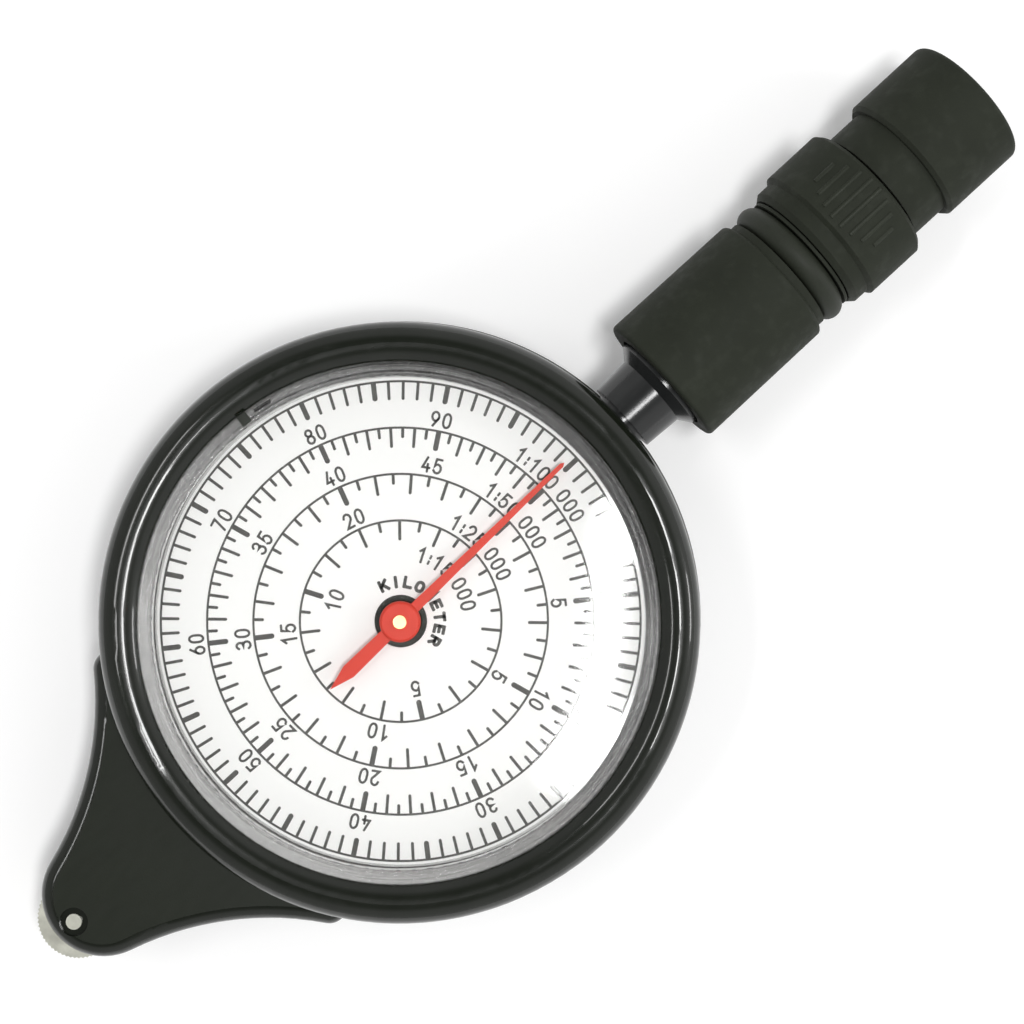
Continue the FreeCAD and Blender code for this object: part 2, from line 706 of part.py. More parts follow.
def pointer():
    body = new_body("pointer")
    arm = [
        ("-arm_tail_root", "0"),
        ("-arm_root", "pointer_hub"),
        ("-arm_tip", f"{ARM_REACH} - arm_point"),
        ("0", ARM_REACH),
        ("arm_tip", f"{ARM_REACH} - arm_point"),
        ("arm_root", "pointer_hub"),
        ("arm_tail_root", "0"),
        ("arm_tail_swell", "-arm_tail_swell_at"),
        ("0", "-arm_tail"),
        ("-arm_tail_swell", "-arm_tail_swell_at"),
    ]
    pad(body, outline, arm, f"{HUB_UNDER} + arm_lift",
        f"{HUB_UNDER} + arm_lift + arm_thick")
    pad(body, circles, [("0", "0", "pointer_hub")], HUB_UNDER, HUB_TOP)
    pocket(body, circles, [("0", "0", "arbor_radius")], HUB_UNDER, HUB_TOP)
    round_edges(body, "Fillet", "arm_thick", ring_edge("pointer_hub", HUB_TOP))
    body.setExpression("Placement.Rotation.Angle", bound("pointer_turn"))


def tooth_half_angle(radius, teeth, module, shift):
    """Half the angle that a tooth covers at this radius, on a true involute flank."""
    pressure = math.radians(20)
    pitch_radius = module * teeth / 2
    base_radius = pitch_radius * math.cos(pressure)
    slant = math.acos(min(1.0, base_radius / radius))
    flank = math.tan(pressure) - pressure - math.tan(slant) + slant
    half = math.pi / (2 * teeth) + 2 * shift * math.tan(pressure) / teeth
    return half + flank - number("tooth_play") / (4 * pitch_radius)


def ring_face(points, bore):
    """Flat face inside a closed outline, with a round bore in its middle."""
    rim = Part.makePolygon(points + points[:1])
    hole = Part.Wire(Part.makeCircle(bore))
    return Part.makeFace([rim, hole], "Part::FaceMakerBullseye")


def gear_face(teeth, module, shift, first_angle, bore):
    """Flat face of a toothed wheel with its first tooth at first_angle."""
    root = module * (teeth / 2 - 1.25 + shift)
    tip = module * (teeth / 2 + 1 + shift)
    base = module * teeth / 2 * math.cos(math.radians(20))
    low = max(root, base)
    radii = [root, low] if low > root else [root]
    steps = 3
    radii += [low + (tip - low) * step / steps for step in range(1, steps + 1)]
    points = []
    for tooth in range(teeth):
        middle = first_angle + 2 * math.pi * tooth / teeth
        for side, ordered in ((-1, radii), (1, radii[::-1])):
            for radius in ordered:
                angle = middle + side * tooth_half_angle(radius, teeth, module, shift)
                spot = FreeCAD.Vector(radius * math.cos(angle), radius * math.sin(angle), 0)
                points.append(spot)
    return ring_face(points, bore)


def feature(name, shape, forward="0", up="0"):
    item = document.addObject("Part::Feature", name)
    item.Label = name
    item.Shape = shape
    item.setExpression("Placement.Base.y", bound(forward))
    item.setExpression("Placement.Base.z", bound(up))
    NODES.append(item)


def gear(name, teeth, module, shift, first_angle, bore, low, high, hub=None, forward="0"):
    """A toothed wheel from low to high on a hub (radius, low, high) with a through bore."""
    face = gear_face(int(number(teeth)), number(module), shift, first_angle, number(bore))
    shape = face.extrude(FreeCAD.Vector(0, 0, number(high) - number(low)))
    if hub:
        radius, hub_low, hub_high = (number(value) for value in hub)
        base = FreeCAD.Vector(0, 0, hub_low - number(low))
        sleeve = Part.makeCylinder(radius, hub_high - hub_low, base)
        sleeve = sleeve.cut(Part.makeCylinder(number(bore), hub_high - hub_low, base))
        shape = shape.fuse(sleeve)
    feature(name, shape, forward, low)


def gears():
    up = math.radians(90)
    down = -up
    shift = number("tooth_shift")
    gear("wheel_pinion", "pinion_teeth", "train_module", shift, up,
         SLEEVE_BORE, TRAIN_UNDER, TRAIN_TOP,
         (SLEEVE_RADIUS, SLEEVE_UNDER, SLEEVE_TOP), f"-{WHEEL_AT}")
    half_pitch = math.pi / number("idler_teeth")
    gear("idler_gear", "idler_teeth", "train_module", -shift, down + half_pitch,
         "idler_pin_radius + running_fit", TRAIN_UNDER, TRAIN_TOP,
         ("idler_hub", f"{IDLER_BOSS_TOP} + hub_gap", f"{FRONT_UNDER} - layer_gap"),
         f"-{IDLER_AT}")
    gear("transfer_gear", "transfer_teeth", "train_module", shift, down,
         "arbor_radius", TRAIN_UNDER, TRAIN_TOP,
         ("transfer_hub", f"{TRANSFER_BOSS_TOP} + layer_gap", DRIVE_UNDER), f"-{TRANSFER_AT}")
    gear("transfer_pinion", "pinion_teeth", DRIVE_MODULE, shift, up,
         "arbor_radius", DRIVE_UNDER, f"{PLATE_UNDER} - loose_fit",
         None, f"-{TRANSFER_AT}")
    half_pitch = math.pi / number("centre_teeth")
    gear("centre_gear", "centre_teeth", DRIVE_MODULE, -shift, down + half_pitch,
         "arbor_radius", CENTRE_GEAR_UNDER, CENTRE_GEAR_TOP,
         ("centre_hub_radius", f"{CENTRE_BOSS_TOP} + layer_gap",
          f"{PLATE_UNDER} - loose_fit"))


def measuring_wheel():
    """Steel wheel with fine ridges across its rim."""
    ridges = int(number("wheel_ridges"))
    tip = number(WHEEL_RADIUS)
    root = tip - number("ridge_depth")
    points = []
    for step in range(2 * ridges):
        radius = root if step % 2 else tip
        angle = math.pi * step / ridges
        points.append(FreeCAD.Vector(radius * math.cos(angle), radius * math.sin(angle), 0))
    face = ring_face(points, number(SLEEVE_RADIUS))
    shape = face.extrude(FreeCAD.Vector(0, 0, number("wheel_thick")))
    feature("measuring_wheel", shape, f"-{WHEEL_AT}", WHEEL_UNDER)


def wheel_washers():
    """One thin washer under the wheel's sleeve and one over it."""
    body = new_body("wheel_washers", f"-{WHEEL_AT}")
    rounds = [("0", "0", "axle_radius + washer_wall"), ("0", "0", "axle_radius")]
    lower = f"({TAIL_INSIDE} + running_fit)"
    pad(body, circles, rounds, lower, f"({lower} + washer_thick)")
    upper = f"({FRONT_UNDER} - running_fit)"
    pad(body, circles, rounds, f"({upper} - washer_thick)", upper)


def handle_stem():
    """Stem keyed into the case, with the plug that the handle turns and latches on."""
    body = turned_on_y("handle_stem", [
        ("0", f"{KEY_END} - running_fit"),
        ("neck_radius", f"{KEY_END} - running_fit"),
        ("neck_radius", "case_radius"),
        ("stem_radius", "case_radius"),
        ("stem_swell", FLARE_START),
        (FLANGE_RADIUS, FLANGE_START),
        (FLANGE_RADIUS, FLANGE_END),
        ("plug_radius", FLANGE_END),
        ("plug_radius", f"{BALL_AT} - groove_half"),
        (GROOVE_RADIUS, f"{BALL_AT} - groove_flat"),
        (GROOVE_RADIUS, f"{BALL_AT} + groove_flat"),
        ("plug_radius", f"{BALL_AT} + groove_half"),
        ("plug_radius", PLUG_END),
        ("0", PLUG_END),
    ])
    sketch = new_sketch(body, "XZ_Plane", f"-{KEY_END}")
    key_low = "back_thick + running_fit - seam_height"
    key_high = f"{PLATE_UNDER} - loose_fit - seam_height"
    outline(sketch, [
        ("-key_half", key_low),
        ("key_half", key_low),
        ("key_half", key_high),
        ("-key_half", key_high),
    ])
    key = body.newObject("PartDesign::Pad", "handle_stem_key")
    key.Profile = sketch
    key.setExpression("Length", bound("key_thick"))
    document.recompute()


def grip_barrel():
    body = turned_on_y("grip_barrel", [
        ("core_radius", BARREL_START),
        ("barrel_radius", BARREL_START),
        ("barrel_radius - barrel_taper", BARREL_END),
        ("barrel_lip_radius", BARREL_END),
        ("barrel_lip_radius", LIP_END),
        ("core_radius", LIP_END),
    ])
    edge = hoop_edge("barrel_radius", BARREL_START)
    round_edges(body, "Fillet", "barrel_round", edge)
    edge = hoop_edge("barrel_radius - barrel_taper", BARREL_END)
    round_edges(body, "Fillet", "barrel_round", edge)


def grip_o_ring():
    body = new_body("grip_o_ring", up="seam_height")
    sketch = new_sketch(body, "XY_Plane")
    circles(sketch, [(RING_RADIUS, RING_AT, "ring_section")])
    ring = body.newObject("PartDesign::Revolution", "grip_o_ring_turned")
    ring.Profile = sketch
    ring.ReferenceAxis = (sketch, ["V_Axis"])
    ring.Angle = 360


def handle_core():
    """Tube inside the grip: it turns on the plug, guides the collar and holds the balls."""
    groove_floor = f"{RING_RADIUS} - ring_section"
    groove_start = f"{RING_AT} - ring_section - running_fit"
    body = turned_on_y("handle_core", [
        ("plug_radius + running_fit", CORE_START),
        ("core_radius", CORE_START),
        ("core_radius", groove_start),
        (groove_floor, groove_start),
        (groove_floor, RING_GROOVE_END),
        ("ring_flange_radius", RING_GROOVE_END),
        ("ring_flange_radius", RING_FLANGE_END),
        ("core_radius", RING_FLANGE_END),
        ("core_radius", CORE_STEP),
        ("core_stub_radius", CORE_STEP),
        ("core_stub_radius", KNOB_START),
        (THREAD_RADIUS, KNOB_START),
        (THREAD_RADIUS, CORE_END),
        ("0", CORE_END),
        ("0", f"{PLUG_END} + plug_room"),
        ("plug_radius + running_fit", f"{PLUG_END} + plug_room"),
    ])
    hole = new_sketch(body, "XY_Plane", "0")
    circles(hole, [("0", BALL_AT, "ball_radius + running_fit")])
    cut = body.newObject("PartDesign::Pocket", "handle_core_ball_hole")
    cut.Profile = hole
    cut.Reversed = True
    cut.setExpression("Length", bound("core_radius"))
    document.recompute()
    holes = body.newObject("PartDesign::PolarPattern", "handle_core_ball_holes")
    holes.Originals = [cut]
    holes.Axis = (hole, ["V_Axis"])
    holes.Angle = 360
    holes.setExpression("Occurrences", bound("ball_count"))
    body.Tip = holes
    document.recompute()


def ball_angle(index):
    """Angle of one latch ball about the handle's axis, from +X towards +Z."""
    return math.radians(90 + 360 * index / number("ball_count"))


def latch_balls():
    for index in range(int(number("ball_count"))):
        angle = ball_angle(index)
        ring = number(BALL_RING)
        across = ring * math.cos(angle)
        above = ring * math.sin(angle)
        ball = document.addObject("Part::Sphere", f"latch_ball_{index + 1}")
        ball.Label = ball.Name
        ball.setExpression("Radius", bound("ball_radius"))
        ball.Placement.Base.x = across
        ball.setExpression("Placement.Base.y", bound(BALL_AT))
        ball.setExpression("Placement.Base.z", bound(f"seam_height + {above}"))
        NODES.append(ball)


def release_collar():
    """Sleeve whose inner cone lets the balls out when it is drawn back."""
    cone_mouth = f"({LAND_RADIUS} + release_slope * ({LAND_START} - {BEAD_START}))"
    body = turned_on_y("release_collar", [
        (cone_mouth, BEAD_START),
        (f"{cone_mouth} + nose_wall", BEAD_START),
        ("bead_radius", f"{BEAD_START} + bead_nose"),
        ("bead_radius", f"{COLLAR_START} - collar_bevel"),
        ("collar_radius", COLLAR_START),
        ("collar_radius", f"{COLLAR_END} - collar_bevel"),
        ("collar_radius - collar_bevel", COLLAR_END),
        (COLLAR_BORE, COLLAR_END),
        (COLLAR_BORE, RIB_END),
        (RIB_RADIUS, RIB_END),
        (RIB_RADIUS, RIB_START),
        (LAND_RADIUS, RIB_START),
        (LAND_RADIUS, LAND_START),
    ])
    add_thumb_pads(body)


def add_thumb_pads(body):
    """Short ridges along the collar in an oval field, above and below."""
    count = int(number("pad_ridges"))
    for side in (1, -1):
        for index in range(count):
            off = index - (count - 1) / 2
            share = 1 - (2 * off / count) ** 2
            length = f"(pad_short + ({PAD_LENGTH} - pad_short) * {share})"
            lean = math.radians(off * number("pad_pitch"))
            reach = "(collar_radius - pad_ridge_sink)"
            across = f"{reach} * {math.sin(lean)}"
            above = f"{reach} * {side * math.cos(lean)}"
            middle = f"(({COLLAR_START} + {COLLAR_END}) / 2)"
            sketch = new_sketch(body, "XZ_Plane", f"-({middle} + {length} / 2)")
            circles(sketch, [(across, above, "pad_ridge_radius")])
            ridge = body.newObject("PartDesign::Pad", "release_collar_ridge")
            ridge.Profile = sketch
            ridge.setExpression("Length", bound(length))
    document.recompute()


def collar_spring():
    """Coil spring between the collar's rib and the knob."""
    low = f"({RIB_END} + spring_wire + loose_fit)"
    length = number(f"{KNOB_START} - spring_wire - loose_fit - {low}")
    radius = number(SPRING_RADIUS)
    coil = Part.makeLongHelix(length / number("spring_turns"), length, radius)
    first = coil.Edges[0]
    start = first.valueAt(first.FirstParameter)
    heading = first.tangentAt(first.FirstParameter)
    round_wire = Part.makeCircle(number("spring_wire"), start, heading)
    shape = Part.Wire(coil).makePipeShell([Part.Wire(round_wire)], True, True)
    shape.rotate(FreeCAD.Vector(0, 0, 0), FreeCAD.Vector(1, 0, 0), -90)
    feature("collar_spring", shape, low, "seam_height")


def end_knob():
    bore = THREAD_RADIUS
    body = turned_on_y("end_knob", [
        (bore, KNOB_START),
        ("neck_ring_radius", KNOB_START),
        ("neck_ring_radius", HEAD_START),
        ("head_radius - head_bevel", HEAD_START),
        ("head_radius", f"{HEAD_START} + head_bevel"),
        ("head_radius", KNOB_END),
        ("0", KNOB_END),
        ("0", f"{CORE_END} + thread_room"),
        (bore, f"{CORE_END} + thread_room"),
    ])
    round_edges(body, "Fillet", "head_round", hoop_edge("head_radius", KNOB_END))


def build():
    rear_case()
    front_case()
    lens()
    dial()
    movement_plate()
    screws("case_screws", case_screw_circles, "case_screw_head", "case_screw_radius",
           "case_screw_sink", SCREW_HEAD_TOP, SCREW_HEAD_TOP, CASE_SCREW_END)
    screws("movement_screws", plate_screw_circles, "plate_screw_head", "plate_screw_radius",
           PLATE_SCREW_SEAT, PLATE_TOP, PLATE_SCREW_END, PLATE_SCREW_SEAT)
    centre_bush()
    rod("pointer_arbor", "arbor_radius", ARBOR_START, ARBOR_END)
    rod("transfer_arbor", "arbor_radius", ARBOR_START, f"{PLATE_TOP} - loose_fit",
        f"-{TRANSFER_AT}")
    rod("idler_pin", "idler_pin_radius", "tail_under + pin_cover",
        f"{TAIL_TOP} - pin_cover", f"-{IDLER_AT}")
    rod("wheel_axle", "axle_radius", "tail_under + pin_cover",
        f"{TAIL_TOP} - axle_end_drop", f"-{WHEEL_AT}")
    wheel_washers()
    pointer()
    gears()
    measuring_wheel()
    handle_stem()
    grip_barrel()
    grip_o_ring()
    handle_core()
    latch_balls()
    release_collar()
    collar_spring()
    end_knob()


build()
document.recompute()

for item in document.Objects:
    if "Invalid" in item.State or "Error" in item.State:
        raise RuntimeError(f"{item.Label} failed: {item.State}")
for node in NODES:
    if node.Shape.isNull() or not node.Shape.isValid():
        raise RuntimeError(f"{node.Label} has no valid shape")

os.makedirs("parts", exist_ok=True)
for node in NODES:
    node.Shape.exportStep(f"parts/{node.Label}.step")
    print(f"{node.Label}: {len(node.Shape.Solids)} solids, {node.Shape.Volume:.2f} mm3")
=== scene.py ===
import math

import bmesh
import bpy
from bpy.props import FloatProperty, FloatVectorProperty, IntProperty, PointerProperty
from mathutils import Matrix, Vector


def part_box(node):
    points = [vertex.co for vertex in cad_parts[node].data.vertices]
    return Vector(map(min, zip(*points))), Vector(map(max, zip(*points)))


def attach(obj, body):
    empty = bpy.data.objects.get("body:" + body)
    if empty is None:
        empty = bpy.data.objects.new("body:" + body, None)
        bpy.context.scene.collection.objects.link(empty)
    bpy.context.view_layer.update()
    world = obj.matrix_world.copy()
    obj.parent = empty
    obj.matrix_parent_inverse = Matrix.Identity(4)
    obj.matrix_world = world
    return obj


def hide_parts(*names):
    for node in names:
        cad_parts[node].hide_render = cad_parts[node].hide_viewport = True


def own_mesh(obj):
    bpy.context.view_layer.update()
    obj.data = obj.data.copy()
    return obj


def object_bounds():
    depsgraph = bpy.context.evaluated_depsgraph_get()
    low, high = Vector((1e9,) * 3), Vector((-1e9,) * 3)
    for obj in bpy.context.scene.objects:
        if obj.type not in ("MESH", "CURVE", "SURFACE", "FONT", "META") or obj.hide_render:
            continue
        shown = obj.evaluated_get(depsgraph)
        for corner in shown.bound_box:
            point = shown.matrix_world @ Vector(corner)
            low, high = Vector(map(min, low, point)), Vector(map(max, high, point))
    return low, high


bl_info = {
    "name": "Map measurer",
    "version": (1, 0, 0),
    "blender": (4, 5, 0),
    "location": "View3D > Sidebar > Measurer",
    "description": "Prints the dial of a map measurer, finishes its parts and sets up a stage",
    "category": "Object",
}

# The frame: +Z looks out of the dial, +Y runs along the handle, all sizes are in metres.
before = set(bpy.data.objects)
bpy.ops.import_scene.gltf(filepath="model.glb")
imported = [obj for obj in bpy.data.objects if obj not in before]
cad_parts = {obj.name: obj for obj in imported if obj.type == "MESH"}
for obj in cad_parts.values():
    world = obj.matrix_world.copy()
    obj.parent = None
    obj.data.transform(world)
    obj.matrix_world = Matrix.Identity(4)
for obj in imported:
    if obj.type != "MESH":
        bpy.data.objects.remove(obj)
CAD_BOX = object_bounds()
MM = 0.001
DOWN = Vector((0, 0, -1))
CENTRE = Vector((0, 0, 0))


def centre_of(node):
    """The middle of a CAD node's box."""
    low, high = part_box(node)
    return (low + high) / 2


DIAL_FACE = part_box("dial")[1].z
GRIP_AXIS_HEIGHT = centre_of("end_knob").z


# --- Sizes and colours that a user would change ---


def length_field(name, description, length):
    return FloatProperty(
        name=name, description=description, default=length, precision=6, unit="LENGTH",
    )


def radii_field(name, description, radii):
    return FloatVectorProperty(
        name=name, description=description, default=radii, size=len(radii), precision=5,
        unit="LENGTH",
    )


def angle_field(name, description, degrees):
    return FloatProperty(
        name=name, description=description, default=math.radians(degrees), subtype="ANGLE",
    )


def level_field(name, description, level):
    return FloatProperty(name=name, description=description, default=level, min=0, max=1)


def colour_field(name, description, colour):
    return FloatVectorProperty(
        name=name, description=description, default=colour, size=3, min=0, max=1,
        subtype="COLOR",
    )


class DialPrint(bpy.types.PropertyGroup):
    """Sizes of the print on the dial"""

    ink_height: length_field("Ink height", "How far the ink stands on the dial", 0.02 * MM)
    circle_radii: radii_field(
        "Circles", "Radii of the four scale circles, from the outermost",
        (18.18 * MM, 14.66 * MM, 11.15 * MM, 7.63 * MM),
    )
    number_radii: radii_field(
        "Numbers", "Radii that the feet of the four scales' numbers stand on",
        (14.93 * MM, 11.42 * MM, 7.92 * MM, 4.62 * MM),
    )
    line_width: length_field("Circle line", "Line width of the circles", 0.165 * MM)
    fine_width: length_field("Fine tick", "Width of a fine tick", 0.225 * MM)
    bold_width: length_field("Bold tick", "Width of the tick at each fifth unit", 0.39 * MM)
    outer_tick: length_field("Outer tick", "Length of the outermost scale's ticks", 1.42 * MM)
    long_tick: length_field("Long tick", "Length of the ticks at whole units", 1.52 * MM)
    short_tick: length_field("Short tick", "Length of the ticks at half units", 0.8 * MM)
    digit_height: length_field("Digit height", "Height of a digit", 1.24 * MM)
    digit_width: length_field("Digit width", "Width of a digit", 0.7 * MM)
    digit_pitch: length_field("Digit pitch", "From one digit to the next", 0.9 * MM)
    digit_stroke: length_field("Digit stroke", "Stroke width of the digits", 0.18 * MM)
    word_radius: length_field("Unit word", "Radius that its letters' feet stand on", 2.5 * MM)
    word_height: length_field("Unit height", "Height of a letter of the unit word", 0.95 * MM)
    word_width: length_field("Unit width", "Width of a letter of the unit word", 0.76 * MM)
    word_stroke: length_field("Unit stroke", "Stroke width of the unit word", 0.25 * MM)
    word_step: angle_field("Unit step", "Angle from one letter to the next", 18.2)


class RimTab(bpy.types.PropertyGroup):
    """Sizes of the small tab on the rim of the lens"""

    angle: angle_field("Angle", "Clockwise from the handle", 275.5)
    width: length_field("Width", "Size along the rim", 0.8 * MM)
    depth: length_field("Depth", "Size across the rim", 0.9 * MM)
    height: length_field("Height", "How far it stands on the rim", 0.14 * MM)


class CaseScrews(bpy.types.PropertyGroup):
    """Sizes of the four screws in the back of the case"""

    angle: angle_field("Angle", "From the crosswise line of the case to each screw", 30)
    circle: length_field("Circle", "Radius of the circle that the screws stand on", 19.6 * MM)
    head: length_field("Head", "Radius of the head", 1.4 * MM)
    head_height: length_field("Head height", "Height of the head", 1.0 * MM)
    shank: length_field("Shank", "Radius of the shank", 0.8 * MM)
    recess_depth: length_field("Recess", "Depth of the cross recess", 0.5 * MM)


class CoilSpring(bpy.types.PropertyGroup):
    """Sizes of the spring behind the release collar"""

    wire: length_field("Wire", "Radius of the wire", 0.16 * MM)
    turns: IntProperty(name="Turns", description="Turns of the coil", default=3, min=1)
    drawn: FloatProperty(
        name="Drawn", description="Share of its length that is left with the collar drawn back",
        default=0.33, min=0.1, max=1,
    )


class Finishes(bpy.types.PropertyGroup):
    """Colours of the finishes"""

    case: colour_field("Case", "Glossy moulding of the case", (0.0055, 0.0075, 0.004))
    tail: colour_field("Tail face", "Matte face of the tail", (0.0075, 0.0105, 0.005))
    stem: colour_field("Stem", "Glossy moulding of the stem", (0.017, 0.018, 0.018))
    grip: colour_field("Grip", "Matte moulding of the handle", (0.0195, 0.0228, 0.0155))
    dial: colour_field("Dial", "White sheet of the dial", (0.95, 0.95, 0.94))
    ink: colour_field("Ink", "Print on the dial", (0.045, 0.044, 0.04))
    pointer: colour_field("Pointer", "Red of the pointer", (0.62, 0.035, 0.015))
    steel: colour_field("Steel", "Bright steel of pins, screws and spring", (0.72, 0.71, 0.66))
    wheel: colour_field("Wheel", "Nickel plating of the wheel and its pin", (0.62, 0.62, 0.54))
    brass: colour_field("Brass", "Turned brass", (0.83, 0.62, 0.28))
    acetal: colour_field("Gears", "Natural acetal of the gears", (0.8, 0.79, 0.74))


class Stage(bpy.types.PropertyGroup):
    """Camera, lamps and floor"""

    camera_place: FloatVectorProperty(
        name="Camera", description="Where the camera hangs", subtype="TRANSLATION", size=3,
        default=(-0.38 * MM, 11.83 * MM, 164 * MM), precision=5,
    )
    camera_turn: angle_field("Camera turn", "Turn of the camera about the vertical", 47.4)
    camera_lens: FloatProperty(
        name="Focal length", description="Focal length of the camera", default=72.06,
        unit="CAMERA",
    )
    walls: level_field("Wall light", "Strength of the light from around", 0.72)
    zenith: level_field("Ceiling light", "Strength of the light from straight above", 0.12)
    one_sided: level_field(
        "One-sided", "How much stronger the light is from the bright side", 0.25
    )
    bright_side: angle_field(
        "Bright side", "Where the light is strongest, clockwise from the handle", 42
    )
    floor_lift: level_field(
        "Floor lift", "How much paler the floor is seen than it is lit", 0.1
    )
    floor_size: length_field("Floor", "Side of the floor", 3.0)
    floor_colour: colour_field("Floor colour", "Pale floor", (0.95, 0.95, 0.95))


SETTINGS = {
    "measurer_print": DialPrint,
    "measurer_tab": RimTab,
    "measurer_screws": CaseScrews,
    "measurer_spring": CoilSpring,
    "measurer_finishes": Finishes,
    "measurer_stage": Stage,
}


# --- Making meshes and pieces ---


def clockwise(angle):
    """A turn about the dial's axis, clockwise as the dial is read."""
    return Matrix.Rotation(-angle, 4, "Z")


def add_piece(name, bm, material, body, smooth_angle=math.radians(35)):
    """Turns a bmesh into a piece that rides on a CAD body."""
    bmesh.ops.recalc_face_normals(bm, faces=bm.faces)
    for edge in bm.edges:
        edge.smooth = edge.calc_face_angle(0) < smooth_angle
    for face in bm.faces:
        face.smooth = True
    mesh = bpy.data.meshes.new(name)
    bm.to_mesh(mesh)
    bm.free()
    mesh.materials.append(material)
    piece = bpy.data.objects.new(name, mesh)
    bpy.context.scene.collection.objects.link(piece)
    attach(piece, body)
    return piece


def linked(verts, links):
    """The edges or faces that vertices belong to, each once and always in one order."""
    return list(dict.fromkeys(item for vert in verts for item in getattr(vert, links)))


def added(bm, known):
    """The vertices of a bmesh that aren't among the known ones."""
    return [vert for vert in bm.verts if vert not in known]


def round_edges(bm, edges, reach, segments):
    """Rounds edges by a reach and returns the vertices that this makes."""
    return bmesh.ops.bevel(
        bm, geom=edges, offset=reach, affect="EDGES", segments=segments, profile=0.5,
        material=-1,
    )["verts"]


def add_bar(bm, width, start, end, height, turn, rounding=0.48, segments=4):
    """A flat bar along a radius of the dial, with its inner end rounded."""
    halfway = (start + end) / 2
    size = Matrix.Diagonal((width, end - start, height, 1))
    place = Matrix.Translation((0, halfway, DIAL_FACE + height / 2))
    verts = bmesh.ops.create_cube(bm, size=1, matrix=place @ size)["verts"]
    corners = [
        edge
        for edge in linked(verts, "link_edges")
        if all(vert.co.y < halfway for vert in edge.verts)
        and abs(edge.verts[0].co.z - edge.verts[1].co.z) > height / 2
    ]
    others = [vert for vert in verts if vert.co.y > halfway]
    made = round_edges(bm, corners, width * rounding, segments)
    verts = list(dict.fromkeys([*others, *made]))
    bmesh.ops.rotate(bm, verts=verts, cent=CENTRE, matrix=clockwise(turn).to_3x3())


def add_ring(bm, radius, width, height, steps=256):
    """A flat ring on the dial, about its axis."""
    corners = [
        bm.verts.new((0, radius + across * width / 2, DIAL_FACE + up * height))
        for across, up in ((-1, 0), (1, 0), (1, 1), (-1, 1))
    ]
    edges = [bm.edges.new((corners[i - 1], corners[i])) for i in range(4)]
    bmesh.ops.spin(
        bm, geom=[*corners, *edges], cent=CENTRE, axis=DOWN, angle=math.tau,
        steps=steps, use_merge=True,
    )


# --- Lettering, drawn with a pen on a square of side 1 ---


def bow(x, y, across, up, start, stop, steps=9):
    """Points of an elliptical arc from one angle to another, in degrees."""
    turns = [math.radians(start + (stop - start) * i / steps) for i in range(steps + 1)]
    return [(x + across * math.cos(turn), y + up * math.sin(turn)) for turn in turns]


def loop(x, y, across, up):
    """Points of a closed ellipse."""
    return bow(x, y, across, up, 0, 360, steps=18)


STADIUM = bow(0.5, 0.64, 0.5, 0.36, 0, 180) + bow(0.5, 0.36, 0.5, 0.36, 180, 360)
STADIUM.append(STADIUM[0])

GLYPHS = {
    "0": [STADIUM],
    "1": [[(0.12, 0.76), (0.6, 1), (0.6, 0)]],
    "2": [[*bow(0.5, 0.7, 0.5, 0.3, 168, -32), (0, 0), (1, 0)]],
    "3": [bow(0.47, 0.76, 0.45, 0.24, 155, -90) + bow(0.47, 0.26, 0.53, 0.26, 90, -155)],
    "4": [[(0.62, 1), (0, 0.27), (1, 0.27)], [(0.74, 0.52), (0.74, 0)]],
    "5": [[(0.93, 1), (0.14, 1), (0.09, 0.52), *bow(0.46, 0.32, 0.54, 0.32, 118, -150)]],
    "6": [loop(0.5, 0.32, 0.5, 0.32), [(0.74, 1), (0.05, 0.45)]],
    "7": [[(0, 1), (1, 1), (0.34, 0)]],
    "8": [loop(0.5, 0.77, 0.44, 0.23), loop(0.5, 0.27, 0.5, 0.27)],
    "9": [loop(0.5, 0.68, 0.5, 0.32), [(0.26, 0), (0.95, 0.55)]],
    ":": [[(0.5, 0.1), (0.5, 0.26)], [(0.5, 0.52), (0.5, 0.68)]],
    "E": [[(0.95, 1), (0, 1), (0, 0), (0.95, 0)], [(0, 0.5), (0.85, 0.5)]],
    "I": [[(0.5, 0), (0.5, 1)]],
    "K": [[(0, 0), (0, 1)], [(0.95, 1), (0.05, 0.42)], [(0.36, 0.62), (1, 0)]],
    "L": [[(0, 1), (0, 0), (0.95, 0)]],
    "M": [[(0, 0), (0, 1), (0.5, 0.36), (1, 1), (1, 0)]],
    "O": [STADIUM],
    "R": [[(0, 0), (0, 1), (0.5, 1), *bow(0.52, 0.74, 0.45, 0.26, 90, -90), (0, 0.48)],
          [(0.5, 0.48), (1, 0)]],
    "T": [[(0, 1), (1, 1)], [(0.5, 1), (0.5, 0)]],
}
# Widths of the narrow characters, as shares of a digit's pitch.
NARROW = {" ": 0.5, ":": 0.5}
# Points of a pen line that are nearer than this are one point, on the square of side 1,
# and so are corners of the walls, in metres.
ONE_POINT = 1e-6
# Corners of the strokes sharper than this are their ends, rounded by a share of the stroke.
END_ANGLE = math.radians(60)
END_ROUNDING = 0.3


def lengthened(line, reach):
    """The line with both ends carried on by a reach, so that the pen fills its box."""
    ends = []
    for end, before in ((line[0], line[1]), (line[-1], line[-2])):
        length = math.dist(end, before)
        ends.append(tuple(e + (e - b) * reach / length for e, b in zip(end, before)))
    return [ends[0], *line[1:-1], ends[1]]


